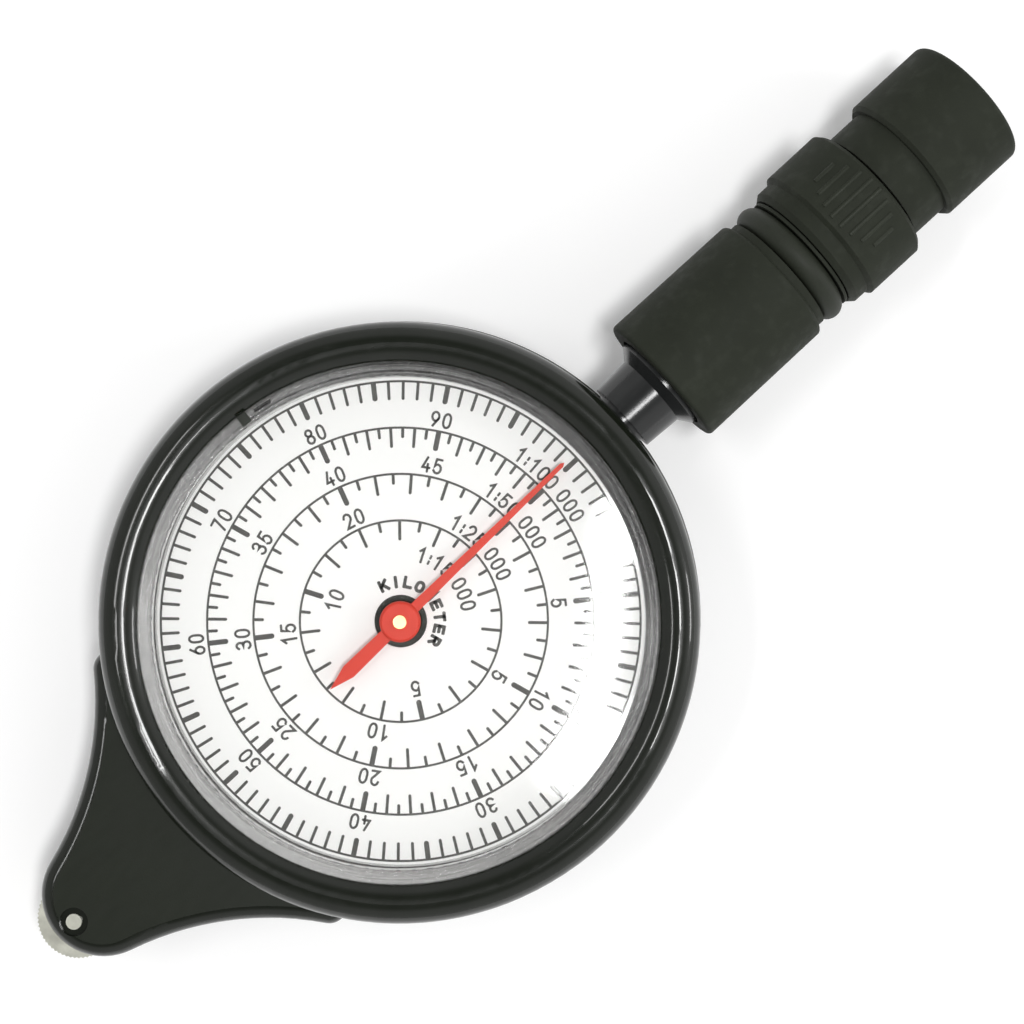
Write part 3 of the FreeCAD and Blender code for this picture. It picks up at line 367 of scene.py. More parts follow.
def pen_walls(glyph, width, height, stroke, ink_height):
    """The glyph's pen lines as upright walls, a mesh that gets its stroke width later."""
    curve = bpy.data.curves.new("pen", "CURVE")
    curve.dimensions = "2D"
    curve.fill_mode = "NONE"
    curve.extrude = ink_height / 2
    for points in GLYPHS[glyph]:
        closed = math.dist(points[0], points[-1]) < ONE_POINT
        line = [
            (x * (width - stroke) + (stroke - width) / 2, y * (height - stroke) + stroke / 2)
            for x, y in points
        ]
        line = line[:-1] if closed else lengthened(line, stroke / 2)
        spline = curve.splines.new("POLY")
        spline.points.add(len(line) - 1)
        for point, (x, y) in zip(spline.points, line):
            point.co = (x, y, 0, 1)
        spline.use_cyclic_u = closed
    pen = bpy.data.objects.new("pen", curve)
    mesh = bpy.data.meshes.new_from_object(pen)
    bpy.data.objects.remove(pen)
    bpy.data.curves.remove(curve)
    return mesh


class Lettering:
    """Characters on arcs round the dial, gathered as walls and then given a stroke."""

    def __init__(self, ink_height, stroke):
        self.bm = bmesh.new()
        self.ink_height = ink_height
        self.stroke = stroke
        self.walls = {}

    def add(self, character, turn, foot, width, height):
        """One character, its foot at a distance from the axis."""
        if character not in self.walls:
            self.walls[character] = pen_walls(
                character, width, height, self.stroke, self.ink_height
            )
        wall = self.walls[character].copy()
        place = Matrix.Translation((0, foot, DIAL_FACE + self.ink_height / 2))
        wall.transform(clockwise(turn) @ place)
        self.bm.from_mesh(wall)
        bpy.data.meshes.remove(wall)

    def write(self, text, turn, foot, width, height, pitch):
        """One line of characters, centred on a turn, its feet towards the axis."""
        middle = foot + height / 2
        steps = [NARROW.get(character, 1) * pitch / middle for character in text]
        at = turn - sum(steps) / 2
        for character, step in zip(text, steps):
            if character != " ":
                self.add(character, at + step / 2, foot, width, height)
            at += step

    def thicken(self):
        """Gives the walls the stroke width, rounds the ends of the strokes."""
        bmesh.ops.remove_doubles(self.bm, verts=self.bm.verts, dist=ONE_POINT)
        mesh = bpy.data.meshes.new("lettering")
        self.bm.to_mesh(mesh)
        self.bm.free()
        wall = bpy.data.objects.new("lettering", mesh)
        bpy.context.scene.collection.objects.link(wall)
        solidify = wall.modifiers.new("stroke", "SOLIDIFY")
        solidify.thickness = self.stroke
        solidify.offset = 0
        solidify.use_even_offset = True
        solid = wall.evaluated_get(bpy.context.evaluated_depsgraph_get())
        bm = bmesh.new()
        bm.from_mesh(solid.to_mesh())
        solid.to_mesh_clear()
        bpy.data.objects.remove(wall)
        ends = [
            edge
            for edge in bm.edges
            if edge.is_manifold
            and abs(edge.verts[0].co.z - edge.verts[1].co.z) > self.ink_height / 2
            and edge.calc_face_angle() > END_ANGLE
        ]
        round_edges(bm, ends, self.stroke * END_ROUNDING, segments=2)
        for mesh in self.walls.values():
            bpy.data.meshes.remove(mesh)
        return bm


# --- Finishes ---


def math_method(operation, reflected=False):
    """A method of Wire that adds a Math node."""

    def method(self, *others):
        operands = (*others, self) if reflected else (self, *others)
        return self.finish.math(operation, *operands)

    return method


class Wire:
    """A node's output. Sums, products and the like of wires and numbers add Math nodes."""

    def __init__(self, finish, socket):
        self.finish = finish
        self.socket = socket

    __add__ = math_method("ADD")
    __radd__ = math_method("ADD", reflected=True)
    __sub__ = math_method("SUBTRACT")
    __rsub__ = math_method("SUBTRACT", reflected=True)
    __mul__ = math_method("MULTIPLY")
    __rmul__ = math_method("MULTIPLY", reflected=True)
    __gt__ = math_method("GREATER_THAN")
    __lt__ = math_method("LESS_THAN")
    __abs__ = math_method("ABSOLUTE")


class Finish:
    """A material, or the room's light, under construction."""

    def __init__(self, name, kind="Material"):
        store = bpy.data.materials if kind == "Material" else bpy.data.worlds
        self.kind = kind
        self.material = store.new(name)
        self.material.use_nodes = True
        self.tree = self.material.node_tree
        self.tree.nodes.clear()
        self.place = self.wire("TexCoord", "Object")
        self.x, self.y, self.z = self.split(self.place)

    def node(self, kind, settings=None, sockets=None):
        """Adds a node, sets its settings and then its sockets."""
        node = self.tree.nodes.new(f"ShaderNode{kind}")
        for name, setting in (settings or {}).items():
            if name == "stops":
                self.set_stops(node.color_ramp.elements, setting)
            else:
                setattr(node, name, setting)
        for key, value in (sockets or {}).items():
            socket = node.inputs[key]
            if isinstance(value, Wire):
                self.tree.links.new(value.socket, socket)
            elif socket.type == "RGBA":
                socket.default_value = (*value, 1)
            else:
                socket.default_value = value
        return node

    @staticmethod
    def set_stops(elements, stops):
        """Sets a ramp's stops, each a position and a grey level."""
        while len(elements) < len(stops):
            elements.new(1)
        for element, (position, level) in zip(elements, stops):
            element.position = position
            element.color = (level, level, level, 1)

    def wire(self, kind, output=0, settings=None, sockets=None):
        """Adds a node and returns one of its outputs."""
        return Wire(self, self.node(kind, settings, sockets).outputs[output])

    def split(self, vector):
        """The three components of a vector."""
        outputs = self.node("SeparateXYZ", sockets={0: vector}).outputs
        return [Wire(self, socket) for socket in outputs]

    def math(self, operation, *operands, clamp=False):
        """A Math node on wires and numbers."""
        settings = {"operation": operation, "use_clamp": clamp}
        return self.wire("Math", settings=settings, sockets=dict(enumerate(operands)))

    def clamp(self, value):
        """The value, kept between 0 and 1."""
        return self.math("ADD", value, 0, clamp=True)

    def ramp(self, value, *stops):
        """A grey level that follows the stops, each a position and a level."""
        return self.wire("ValToRGB", settings={"stops": stops}, sockets={0: value})

    def between(self, value, low, high):
        """0 below low, 1 above high, and smooth in between."""
        settings = {"interpolation_type": "SMOOTHSTEP"}
        sockets = {0: value, 1: low, 2: high, 3: 0, 4: 1}
        return self.wire("MapRange", settings=settings, sockets=sockets)

    def radius(self, x=0.0, y=0.0):
        """Distance from an upright axis through x and y."""
        across = self.x - x
        along = self.y - y
        return self.math("SQRT", across * across + along * along)

    def noise(self, size, detail=2.0, stretch=(1, 1, 1), rough=0.5, at=None):
        """Noise with lumps of a size in metres, stretched along the axes."""
        scale = tuple(1 / (size * share) for share in stretch)
        spread = self.wire("Mapping", sockets={0: at or self.place, 3: scale})
        sockets = {"Vector": spread, "Scale": 1.0, "Detail": detail, "Roughness": rough}
        return self.wire("TexNoise", sockets=sockets)

    def mix(self, colour, other, mask):
        """The first colour where the mask is 0, the other where it is 1."""
        return self.wire("Mix", 2, {"data_type": "RGBA"}, {0: mask, 6: colour, 7: other})

    def shade(self, colour, level):
        """A colour times a level."""
        grey = self.wire("CombineXYZ", sockets={0: level, 1: level, 2: level})
        settings = {"data_type": "RGBA", "blend_type": "MULTIPLY"}
        return self.wire("Mix", 2, settings, {0: 1.0, 6: colour, 7: grey})

    def bump(self, height, depth, below=None):
        """A normal from a height of 0 to 1 that is depth metres deep."""
        sockets = {"Height": height, "Distance": depth, "Strength": 1.0}
        if below:
            sockets["Normal"] = below
        return self.wire("Bump", sockets=sockets)

    def surface(self, **sockets):
        """The shader, its sockets named as Blender does, with underscores for spaces."""
        named = {name.replace("_", " "): value for name, value in sockets.items()}
        return self.wire("BsdfPrincipled", sockets=named)

    def end(self, shader):
        """Sends the shader to the output and returns the material."""
        self.node(f"Output{self.kind}", sockets={0: shader})
        return self.material

    def end_surface(self, **sockets):
        """Ends a material that is one plain surface."""
        return self.end(self.surface(**sockets))


def dress(material, *names):
    """Gives CAD nodes a finish in their own material slots."""
    for name in names:
        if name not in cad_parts:
            raise RuntimeError(f"the frame has no node {name}")
        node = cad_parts[name]
        if not node.material_slots:
            node.data.materials.append(material)
        for slot in node.material_slots:
            slot.material = material


# The tail's matte face lies outside the bezel, and higher than the end of the wheel's pin.
TAIL_PAST_BEZEL = 0.02 * MM
TAIL_ABOVE_PIN = 0.0775 * MM
# Radius from the handle's own axis at which the ribs of the collar begin, and the reach
# over which they grow paler, a painted highlight on the rib crests as well as wear.
RIB_FOOT = 5.93 * MM
RIB_RISE = 0.12 * MM
# The rim of the lens: its width, its soft inner edge, the turn at which its painted shade is
# darkest and the length that its marks have for one radian. Turns are clockwise from the handle.
RIM_WIDTH = 2.45 * MM
RIM_EDGE = 0.03 * MM
RIM_SHADE_DARKEST = math.radians(-15)
RIM_MARK_LENGTH = 0.6 * MM
# A dark flow mark in the rim, beside the tab.
FLAW_TURN = math.radians(-79.5)
FLAW_HALF_TURN = math.radians(2.2)
FLAW_RADIUS = 19.12 * MM
FLAW_HALF_WIDTH = 0.13 * MM


def case_gloss(colours):
    """Glossy black moulding with a matte face on the tail."""
    finish = Finish("case_gloss")
    bezel_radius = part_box("front_case")[1].x
    tail_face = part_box("wheel_axle")[1].z + TAIL_ABOVE_PIN
    outside = finish.radius() > bezel_radius + TAIL_PAST_BEZEL
    tail = outside * (finish.z > tail_face)
    lumps = finish.noise(2.2 * MM, detail=3)
    wear = finish.noise(0.5 * MM, detail=4, stretch=(1, 4, 1))
    grain = finish.noise(0.12 * MM, detail=2)
    rough = (0.2 + 0.1 * wear) * (1 - tail) + (0.34 + 0.12 * wear) * tail
    colour = finish.mix(colours.case, colours.tail, tail)
    colour = finish.shade(colour, 0.85 + 0.3 * lumps)
    orange_peel = finish.bump(finish.noise(2.4 * MM, detail=0), 0.0005 * MM)
    normal = finish.bump(grain, 0.005 * MM * tail + 0.0001 * MM, orange_peel)
    return finish.end_surface(
        Base_Color=colour, Roughness=rough, IOR=1.5, Specular_IOR_Level=0.25,
        Coat_Weight=(1 - tail) * (0.42 + 0.2 * lumps), Coat_Roughness=0.04, Normal=normal,
    )


def stem_gloss(colours):
    """Glossy moulding with fine lines along the stem."""
    finish = Finish("stem_gloss")
    lines = finish.noise(0.25 * MM, detail=3, stretch=(1, 12, 1))
    lumps = finish.noise(1.5 * MM)
    return finish.end_surface(
        Base_Color=finish.shade(colours.stem, 0.8 + 0.4 * lumps),
        Roughness=0.17 + 0.05 * lines, IOR=1.5, Normal=finish.bump(lines, 0.0001 * MM),
    )


def grip_matte(colours, name="grip_matte", ribbed=False):
    """Matte spark-eroded moulding, a little paler where hands rub it, and on the ribbed collar
    paler on the rib crests, a painted highlight as well as wear.
    """
    finish = Finish(name)
    grain = finish.noise(0.11 * MM, detail=3, rough=0.6)
    lumps = finish.noise(2.6 * MM, detail=3)
    wear_and_crest_highlight = finish.between(finish.noise(1.1 * MM, detail=4), 0.45, 0.75)
    if ribbed:
        drop = finish.z - GRIP_AXIS_HEIGHT
        reach = finish.math("SQRT", finish.x * finish.x + drop * drop)
        # Paler rib crests: painted highlight, and wear.
        wear_and_crest_highlight = wear_and_crest_highlight + 2.2 * finish.between(reach, RIB_FOOT, RIB_FOOT + RIB_RISE)
    return finish.end_surface(
        Base_Color=finish.shade(colours.grip, 0.8 + 0.35 * lumps + 0.12 * wear_and_crest_highlight),
        Roughness=0.7 - 0.12 * wear_and_crest_highlight, IOR=1.48, Specular_IOR_Level=0.18,
        Normal=finish.bump(grain, 0.012 * MM),
    )


def ring_rubber(colours):
    """Rubber with a fine dust of talc."""
    finish = Finish("ring_rubber")
    dust = finish.noise(0.3 * MM, detail=5, rough=0.65)
    return finish.end_surface(
        Base_Color=finish.shade(colours.grip, 0.7 + 0.6 * dust),
        Roughness=0.5 + 0.15 * dust, IOR=1.5, Specular_IOR_Level=0.25,
        Normal=finish.bump(dust, 0.004 * MM),
    )


def lens_clear():
    """Clear moulding: a polished window and a rim with turning marks and flow marks, the rim's
    colour darkened by painted shade that is deepest at one turn and along the turning marks.
    """
    finish = Finish("lens_clear")
    window_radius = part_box("lens")[1].x - RIM_WIDTH
    radius = finish.radius()
    rim = finish.between(radius, window_radius, window_radius + RIM_EDGE)
    turn = finish.math("ARCTAN2", finish.x, finish.y)
    polar = finish.wire("CombineXYZ", sockets={0: radius, 1: turn * RIM_MARK_LENGTH})
    rings = finish.ramp(
        finish.noise(0.06 * MM, detail=3, stretch=(1, 24, 1), rough=0.6, at=polar),
        (0.38, 0.0), (0.62, 1.0),
    )
    ribs = finish.ramp(
        finish.noise(0.005 * MM, detail=1, stretch=(60, 1, 1), at=polar),
        (0.35, 0.0), (0.65, 1.0),
    )
    patches = finish.noise(1.0 * MM, detail=3)
    # Painted shade round the rim, deepest at one turn.
    painted_shade_by_turn = 0.5 + 0.5 * finish.math("COSINE", turn - RIM_SHADE_DARKEST)
    # Painted shade along the turning marks, standing in for the grey that the clear rim scatters;
    # the marks' relief is the bump below.
    streak_shade = rings * 0.55 + ribs * patches * 0.35
    flaw = (abs(turn - FLAW_TURN) < FLAW_HALF_TURN) * (abs(radius - FLAW_RADIUS) < FLAW_HALF_WIDTH)
    # The rim's painted shade, with the dark flow mark.
    painted_shade_and_flaw = finish.clamp(0.08 + 0.48 * painted_shade_by_turn + 0.82 * streak_shade + 0.4 * flaw)
    waves = finish.noise(3 * MM)
    normal = finish.bump(rings * rim, 0.02 * MM)
    normal = finish.bump(ribs * rim, 0.004 * MM, normal)
    # The rim's colour is darkened by the painted shade and the flow mark.
    colour = finish.shade((1.0, 1.0, 0.99), 1 - rim * painted_shade_and_flaw)
    glass = finish.surface(
        Base_Color=colour, Roughness=0.045 + 0.01 * waves + 0.08 * rim * rings, IOR=1.49,
        Transmission_Weight=1.0, Normal=normal,
    )
    clear = finish.wire("BsdfTransparent")
    for ray in ("Is Shadow Ray", "Is Diffuse Ray"):
        passes = finish.wire("LightPath", ray)
        glass = finish.wire("MixShader", sockets={0: passes, 1: glass, 2: clear})
    return finish.end(glass)


def dial_white(colours):
    """White sheet with the grain of a printing stock."""
    finish = Finish("dial_white")
    grain = finish.noise(0.08 * MM, detail=4)
    cloud = finish.noise(6 * MM)
    return finish.end_surface(
        Base_Color=finish.shade(colours.dial, 0.985 + 0.02 * cloud + 0.01 * grain),
        Roughness=0.5 + 0.1 * grain, IOR=1.45, Normal=finish.bump(grain, 0.0015 * MM),
    )


def dial_ink(colours):
    """Screen-printed ink, thinner here and there."""
    finish = Finish("dial_ink")
    spots = finish.noise(0.06 * MM, detail=3)
    thin = finish.between(finish.noise(0.5 * MM, detail=3), 0.35, 0.8)
    return finish.end_surface(
        Base_Color=finish.shade(colours.ink, 0.75 + 0.35 * thin + 0.25 * spots),
        Roughness=0.45 + 0.15 * spots, IOR=1.45, Normal=finish.bump(spots, 0.002 * MM),
    )


def pointer_red(colours):
    """Satin red paint with fine specks."""
    finish = Finish("pointer_red")
    specks = finish.noise(0.05 * MM, detail=3)
    cloud = finish.noise(1.2 * MM, detail=2)
    return finish.end_surface(
        Base_Color=finish.shade(colours.pointer, 0.93 + 0.1 * cloud + 0.04 * specks),
        Roughness=0.4 + 0.12 * specks, IOR=1.5, Specular_IOR_Level=0.3,
        Normal=finish.bump(specks, 0.003 * MM),
    )


def turned_metal(name, colour, x=0.0, y=0.0, rough=0.2, pitch=0.03 * MM, depth=0.002 * MM):
    """Metal with turning marks round an upright axis."""
    finish = Finish(name)
    radius = finish.radius(x, y)
    cut = finish.wire("CombineXYZ", sockets={0: radius, 1: finish.z})
    marks = finish.noise(pitch, at=cut)
    stains = finish.noise(0.9 * MM, detail=3)
    return finish.end_surface(
        Base_Color=finish.shade(colour, 0.58 + 0.18 * marks + 0.58 * stains),
        Metallic=1.0, Roughness=rough + 0.14 * marks + 0.08 * stains,
        Normal=finish.bump(marks, depth),
    )


def gear_acetal(colours):
    """Waxy acetal with flow marks."""
    finish = Finish("gear_acetal")
    flow = finish.noise(0.9 * MM, detail=4)
    grain = finish.noise(0.1 * MM, detail=2)
    return finish.end_surface(
        Base_Color=finish.shade(colours.acetal, 0.92 + 0.1 * flow),
        Roughness=0.36 + 0.12 * flow, IOR=1.48, Subsurface_Weight=0.05,
        Normal=finish.bump(grain, 0.003 * MM),
    )


def plate_matte(colours):
    """Matte black moulding inside the case."""
    finish = Finish("plate_matte")
    grain = finish.noise(0.1 * MM, detail=3)
    lumps = finish.noise(2 * MM, detail=2)
    return finish.end_surface(
        Base_Color=finish.shade(colours.tail, 0.7 + 0.5 * lumps),
        Roughness=0.55 + 0.15 * grain, IOR=1.5, Normal=finish.bump(grain, 0.008 * MM),
    )


# --- Operators ---

# Each scale, from the outermost: divisions of the circle, divisions in one unit, from one
# bold tick to the next and from one number to the next, and the map scale.
SCALES = (
    (100, 1, 5, 10, "1:100 000"),
    (100, 2, 10, 10, "1:50 000"),
    (50, 2, 10, 10, "1:25 000"),
    (30, 2, 10, 10, "1:15 000"),
)
UNIT_WORD = "KILOMETER"


def add_print(context, name, bm):
    """Turns a bmesh into ink on the dial."""
    ink = dial_ink(context.scene.measurer_finishes)
    add_piece(name, bm, ink, "case")


class MEASURER_OT_dial_scales(bpy.types.Operator):
    """Print the four scale circles with their ticks"""

    bl_idname = "measurer.dial_scales"
    bl_label = "Dial scales"

    def execute(self, context):
        sizes = context.scene.measurer_print
        bm = bmesh.new()
        for radius, scale in zip(sizes.circle_radii, SCALES):
            divisions, per_unit, per_bold, _, _ = scale
            add_ring(bm, radius, sizes.line_width, sizes.ink_height)
            known = set(bm.verts)
            whole = sizes.long_tick if per_unit > 1 else sizes.outer_tick
            for index in range(per_bold):
                length = sizes.short_tick if index % per_unit else whole
                width = sizes.fine_width if index else sizes.bold_width
                turn = math.tau * index / divisions
                add_bar(bm, width, radius - length, radius, sizes.ink_height, turn)
            ticks = added(bm, known)
            ticks += linked(ticks, "link_edges") + linked(ticks, "link_faces")
            sectors = divisions // per_bold
            bmesh.ops.spin(
                bm, geom=ticks, cent=CENTRE, axis=DOWN, steps=sectors - 1,
                angle=math.tau * (sectors - 1) / sectors, use_duplicate=True,
            )
        add_print(context, "dial_scales", bm)
        return {"FINISHED"}


class MEASURER_OT_dial_numbers(bpy.types.Operator):
    """Print the numbers and the map scales"""

    bl_idname = "measurer.dial_numbers"
    bl_label = "Dial numbers"

    def execute(self, context):
        sizes = context.scene.measurer_print
        letters = Lettering(sizes.ink_height, sizes.digit_stroke)
        form = (sizes.digit_width, sizes.digit_height, sizes.digit_pitch)
        for foot, scale in zip(sizes.number_radii, SCALES):
            divisions, per_unit, _, per_number, title = scale
            letters.write(title, 0, foot, *form)
            for index in range(per_number, divisions, per_number):
                turn = math.tau * index / divisions
                letters.write(str(index // per_unit), turn, foot, *form)
        add_print(context, "dial_numbers", letters.thicken())
        return {"FINISHED"}


class MEASURER_OT_dial_unit(bpy.types.Operator):
    """Print the unit round the hub"""

    bl_idname = "measurer.dial_unit"
    bl_label = "Dial unit"

    def execute(self, context):
        sizes = context.scene.measurer_print
        letters = Lettering(sizes.ink_height, sizes.word_stroke)
        for index, letter in enumerate(UNIT_WORD):
            turn = (index - (len(UNIT_WORD) - 1) / 2) * sizes.word_step
            letters.add(letter, turn, sizes.word_radius, sizes.word_width, sizes.word_height)
        add_print(context, "dial_unit", letters.thicken())
        return {"FINISHED"}


# How far the tab lies inside the edge of the lens, and its rounding as a share of its height.
TAB_INSET = 1.4 * MM
TAB_ROUNDING = 0.35


class MEASURER_OT_rim_tab(bpy.types.Operator):
    """Add the small tab on the rim of the lens"""

    bl_idname = "measurer.rim_tab"
    bl_label = "Rim tab"

    def execute(self, context):
        sizes = context.scene.measurer_tab
        lens_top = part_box("lens")[1]
        out = lens_top.x - TAB_INSET - sizes.depth / 2
        place = Matrix.Translation((0, out, lens_top.z + sizes.height / 2))
        size = Matrix.Diagonal((sizes.width, sizes.depth, sizes.height, 1))
        bm = bmesh.new()
        bmesh.ops.create_cube(bm, size=1, matrix=clockwise(sizes.angle) @ place @ size)
        round_edges(bm, bm.edges[:], sizes.height * TAB_ROUNDING, segments=3)
        finish = plate_matte(context.scene.measurer_finishes)
        add_piece("rim_tab", bm, finish, "case")
        return {"FINISHED"}


# The cross recess, as shares of the head's radius: half an arm's width, an arm's reach, how
# far its walls slope in, and the lines of the grid that it is cut from.
ARM_WIDTH = 0.17
ARM_REACH = 0.5
RECESS_SLOPE = 0.05
GRID_REACH = 0.7
RECESS_LINES = (-GRID_REACH, -ARM_REACH, -ARM_WIDTH, 0, ARM_WIDTH, ARM_REACH, GRID_REACH)
# The rounded edge of the head, as shares of its radius and of its height.
HEAD_SECTION = ((0.86, 0), (0.97, 0.05), (1, 0.16), (1, 1))
# The taper at the end of the shank, as shares of the shank's radius: its length and its end.
TAPER_LENGTH = 0.6
TAPER_END = 0.45
# How far the screws are driven: the turn of the first and from one to the next.
FIRST_DRIVEN = math.radians(17)
DRIVEN_STEP = math.radians(31)
# Faces of a screw that meet at a larger angle than this keep a crisp edge.
CRISP_ANGLE = math.radians(12)


def grow_ring(bm, edges, radius, height):
    """Extrudes a ring of edges to a circle of a radius at a height, returns its edges."""
    grown = bmesh.ops.extrude_edge_only(bm, edges=edges)["geom"]
    ring = [item for item in grown if isinstance(item, bmesh.types.BMVert)]
    for vert in ring:
        vert.co = (*(vert.co.xy.normalized() * radius), height)
    return [
        item
        for item in grown
        if isinstance(item, bmesh.types.BMEdge) and all(vert in ring for vert in item.verts)
    ]


def add_screw(bm, sizes, length, place):
    """A screw whose head faces down, with a cross recess; the place is the head's middle."""
    known = set(bm.verts)
    cells = len(RECESS_LINES) - 1
    grid = bmesh.ops.create_grid(bm, x_segments=cells, y_segments=cells, size=cells / 2)["verts"]
    for vert in grid:
        column, row = (round(value + cells / 2) for value in vert.co[:2])
        vert.co = (sizes.head * RECESS_LINES[column], sizes.head * RECESS_LINES[row], 0)
    edges = [edge for edge in linked(grid, "link_edges") if edge.is_boundary]
    cross = []
    for cell in linked(grid, "link_faces"):
        near, far = sorted(abs(value) for value in cell.calc_center_median()[:2])
        if near < sizes.head * ARM_WIDTH and far < sizes.head * ARM_REACH:
            cross.append(cell)
    bmesh.ops.inset_region(
        bm, faces=cross, thickness=sizes.head * RECESS_SLOPE, depth=0, use_even_offset=True
    )
    for cell in cross:
        for vert in cell.verts:
            vert.co.z = sizes.recess_depth
    rings = [(sizes.head * out, sizes.head_height * up) for out, up in HEAD_SECTION]
    rings += [
        (sizes.shank, sizes.head_height),
        (sizes.shank, length - sizes.shank * TAPER_LENGTH),
        (sizes.shank * TAPER_END, length),
    ]
    for radius, height in rings:
        edges = grow_ring(bm, edges, radius, height)
    bmesh.ops.edgeloop_fill(bm, edges=edges)
    bmesh.ops.transform(bm, verts=added(bm, known), matrix=place)


class MEASURER_OT_case_screws(bpy.types.Operator):
    """Put screws with a cross recess in the back of the case"""

    bl_idname = "measurer.case_screws"
    bl_label = "Case screws"

    def execute(self, context):
        sizes = context.scene.measurer_screws
        low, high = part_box("case_screws")
        angles = (sizes.angle, math.pi - sizes.angle, math.pi + sizes.angle, -sizes.angle)
        bm = bmesh.new()
        for index, angle in enumerate(angles):
            out = Matrix.Rotation(angle, 4, "Z") @ Matrix.Translation((sizes.circle, 0, low.z))
            driven = Matrix.Rotation(FIRST_DRIVEN + DRIVEN_STEP * index, 4, "Z")
            add_screw(bm, sizes, high.z - low.z, out @ driven)
        steel = turned_metal("screw_steel", context.scene.measurer_finishes.steel, rough=0.24)
        screws = add_piece(
            "cross_screws", bm, steel, "case", smooth_angle=CRISP_ANGLE
        )
        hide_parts("case_screws")
        return {"FINISHED"}


# Steps of the coil's mesh in one turn, and sides of its wire.
COIL_STEPS = 24
WIRE_SIDES = 10


class MEASURER_OT_coil_spring(bpy.types.Operator):
    """Put in a coil spring behind the release collar"""

    bl_idname = "measurer.coil_spring"
    bl_label = "Coil spring"

    def execute(self, context):
        sizes = context.scene.measurer_spring
        low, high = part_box("collar_spring")
        steps = sizes.turns * COIL_STEPS
        rise = (high.y - low.y - 2 * sizes.wire) / steps
        bm = bmesh.new()
        start = Matrix.Translation((high.x - sizes.wire, low.y + sizes.wire, GRIP_AXIS_HEIGHT))
        ring = bmesh.ops.create_circle(
            bm, segments=WIRE_SIDES, radius=sizes.wire, matrix=start
        )["verts"]
        geom = [*ring, *linked(ring, "link_edges")]
        bmesh.ops.spin(
            bm, geom=geom, cent=(0, 0, GRIP_AXIS_HEIGHT), axis=(0, 1, 0),
            dvec=(0, rise, 0), angle=math.tau * sizes.turns, steps=steps,
        )
        ends = [edge for edge in bm.edges if edge.is_boundary]
        bmesh.ops.holes_fill(bm, edges=ends, sides=len(ring))
        steel = turned_metal("spring_steel", context.scene.measurer_finishes.steel, rough=0.3)
        spring = add_piece("coil_spring", bm, steel, "handle")
        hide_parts("collar_spring")
        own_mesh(spring)
        return {"FINISHED"}


class MEASURER_OT_finish_case(bpy.types.Operator):
    """Finish the case, the stem and what is inside the case"""

    bl_idname = "measurer.finish_case"
    bl_label = "Finish the case"

    def execute(self, context):
        colours = context.scene.measurer_finishes
        dress(case_gloss(colours), "front_case", "rear_case")
        dress(stem_gloss(colours), "handle_stem")
        dress(lens_clear(), "lens")
        dress(plate_matte(colours), "movement_plate")
        return {"FINISHED"}


class MEASURER_OT_finish_dial(bpy.types.Operator):
    """Finish the dial and its pointer"""

    bl_idname = "measurer.finish_dial"
    bl_label = "Finish the dial"

    def execute(self, context):
        colours = context.scene.measurer_finishes
        dress(dial_white(colours), "dial")
        dress(pointer_red(colours), "pointer")
        dress(turned_metal("brass", colours.brass), "pointer_arbor")
        dress(turned_metal("blackened_brass", colours.tail, rough=0.4), "centre_bush")
        return {"FINISHED"}


class MEASURER_OT_finish_train(bpy.types.Operator):
    """Finish the gears, the measuring wheel and the metal parts"""

    bl_idname = "measurer.finish_train"
    bl_label = "Finish the train"

    def execute(self, context):
        colours = context.scene.measurer_finishes
        acetal = gear_acetal(colours)
        dress(acetal, "idler_gear", "transfer_gear", "centre_gear", "wheel_washers")
        pin = centre_of("wheel_axle")
        wheel = turned_metal("wheel_steel", colours.wheel, pin.x, pin.y, rough=0.26)
        dress(wheel, "measuring_wheel", "wheel_axle")
        steel = turned_metal("plain_steel", colours.steel, rough=0.22)
        dress(
            steel, "idler_pin", "transfer_arbor", "movement_screws", "latch_ball_1",
            "latch_ball_2", "latch_ball_3",
        )
        brass = turned_metal("pinion_brass", colours.brass, rough=0.26)
        dress(brass, "wheel_pinion", "transfer_pinion")
        return {"FINISHED"}


class MEASURER_OT_finish_handle(bpy.types.Operator):
    """Finish the handle"""

    bl_idname = "measurer.finish_handle"
    bl_label = "Finish the handle"

    def execute(self, context):
        colours = context.scene.measurer_finishes
        grip = grip_matte(colours)
        dress(grip, "handle_core", "grip_barrel", "end_knob")
        dress(grip_matte(colours, "collar_matte", ribbed=True), "release_collar")
        dress(ring_rubber(colours), "grip_o_ring")
        return {"FINISHED"}


# --- Stage ---

# Four lamps that the lens mirrors as one arch along its rim. They hang at one height and
# face straight down: place, turn in degrees and size of each.
ARCH_LAMPS = (
    ("arch_near_handle", (0.0463, 0.0782), -18, (0.0365, 0.0187)),
    ("arch_upper", (0.0606, 0.053), -43, (0.0662, 0.0165)),
    ("arch_lower", (0.0969, 0.011), -53, (0.0618, 0.0165)),
    ("arch_far", (0.1202, -0.0228), -71, (0.0469, 0.0287)),
)
ARCH_HEIGHT = 0.611
# How bright a lamp's face is seen, 1 being white.
ARCH_RADIANCE = 26.0
# Main lamps, hung in an arc round the dial's axis: their angles clockwise from the handle,
# in degrees, the arc's radius, and each lamp's size out from the axis and along the arc.
KEY_ANGLES = (28, 47, 66, 85)
KEY_RADIUS = 0.16
KEY_SIZE = (0.08, 0.05)
KEY_RADIANCE = 33.5
# A weak strip above the other side, hung in the same way.
SIDE_ANGLE = 233
SIDE_RADIUS = 0.32
SIDE_SIZE = (0.06, 0.3)
SIDE_RADIANCE = 12.0
# Height of the main lamps and of the side strip.
ROUND_HEIGHT = 0.62
# A low lamp beyond the handle, aimed at the dial.
LOW_PLACE = (0.55, 0.60, 0.4)
LOW_SIZE = (0.2, 0.1)
LOW_RADIANCE = 14.0
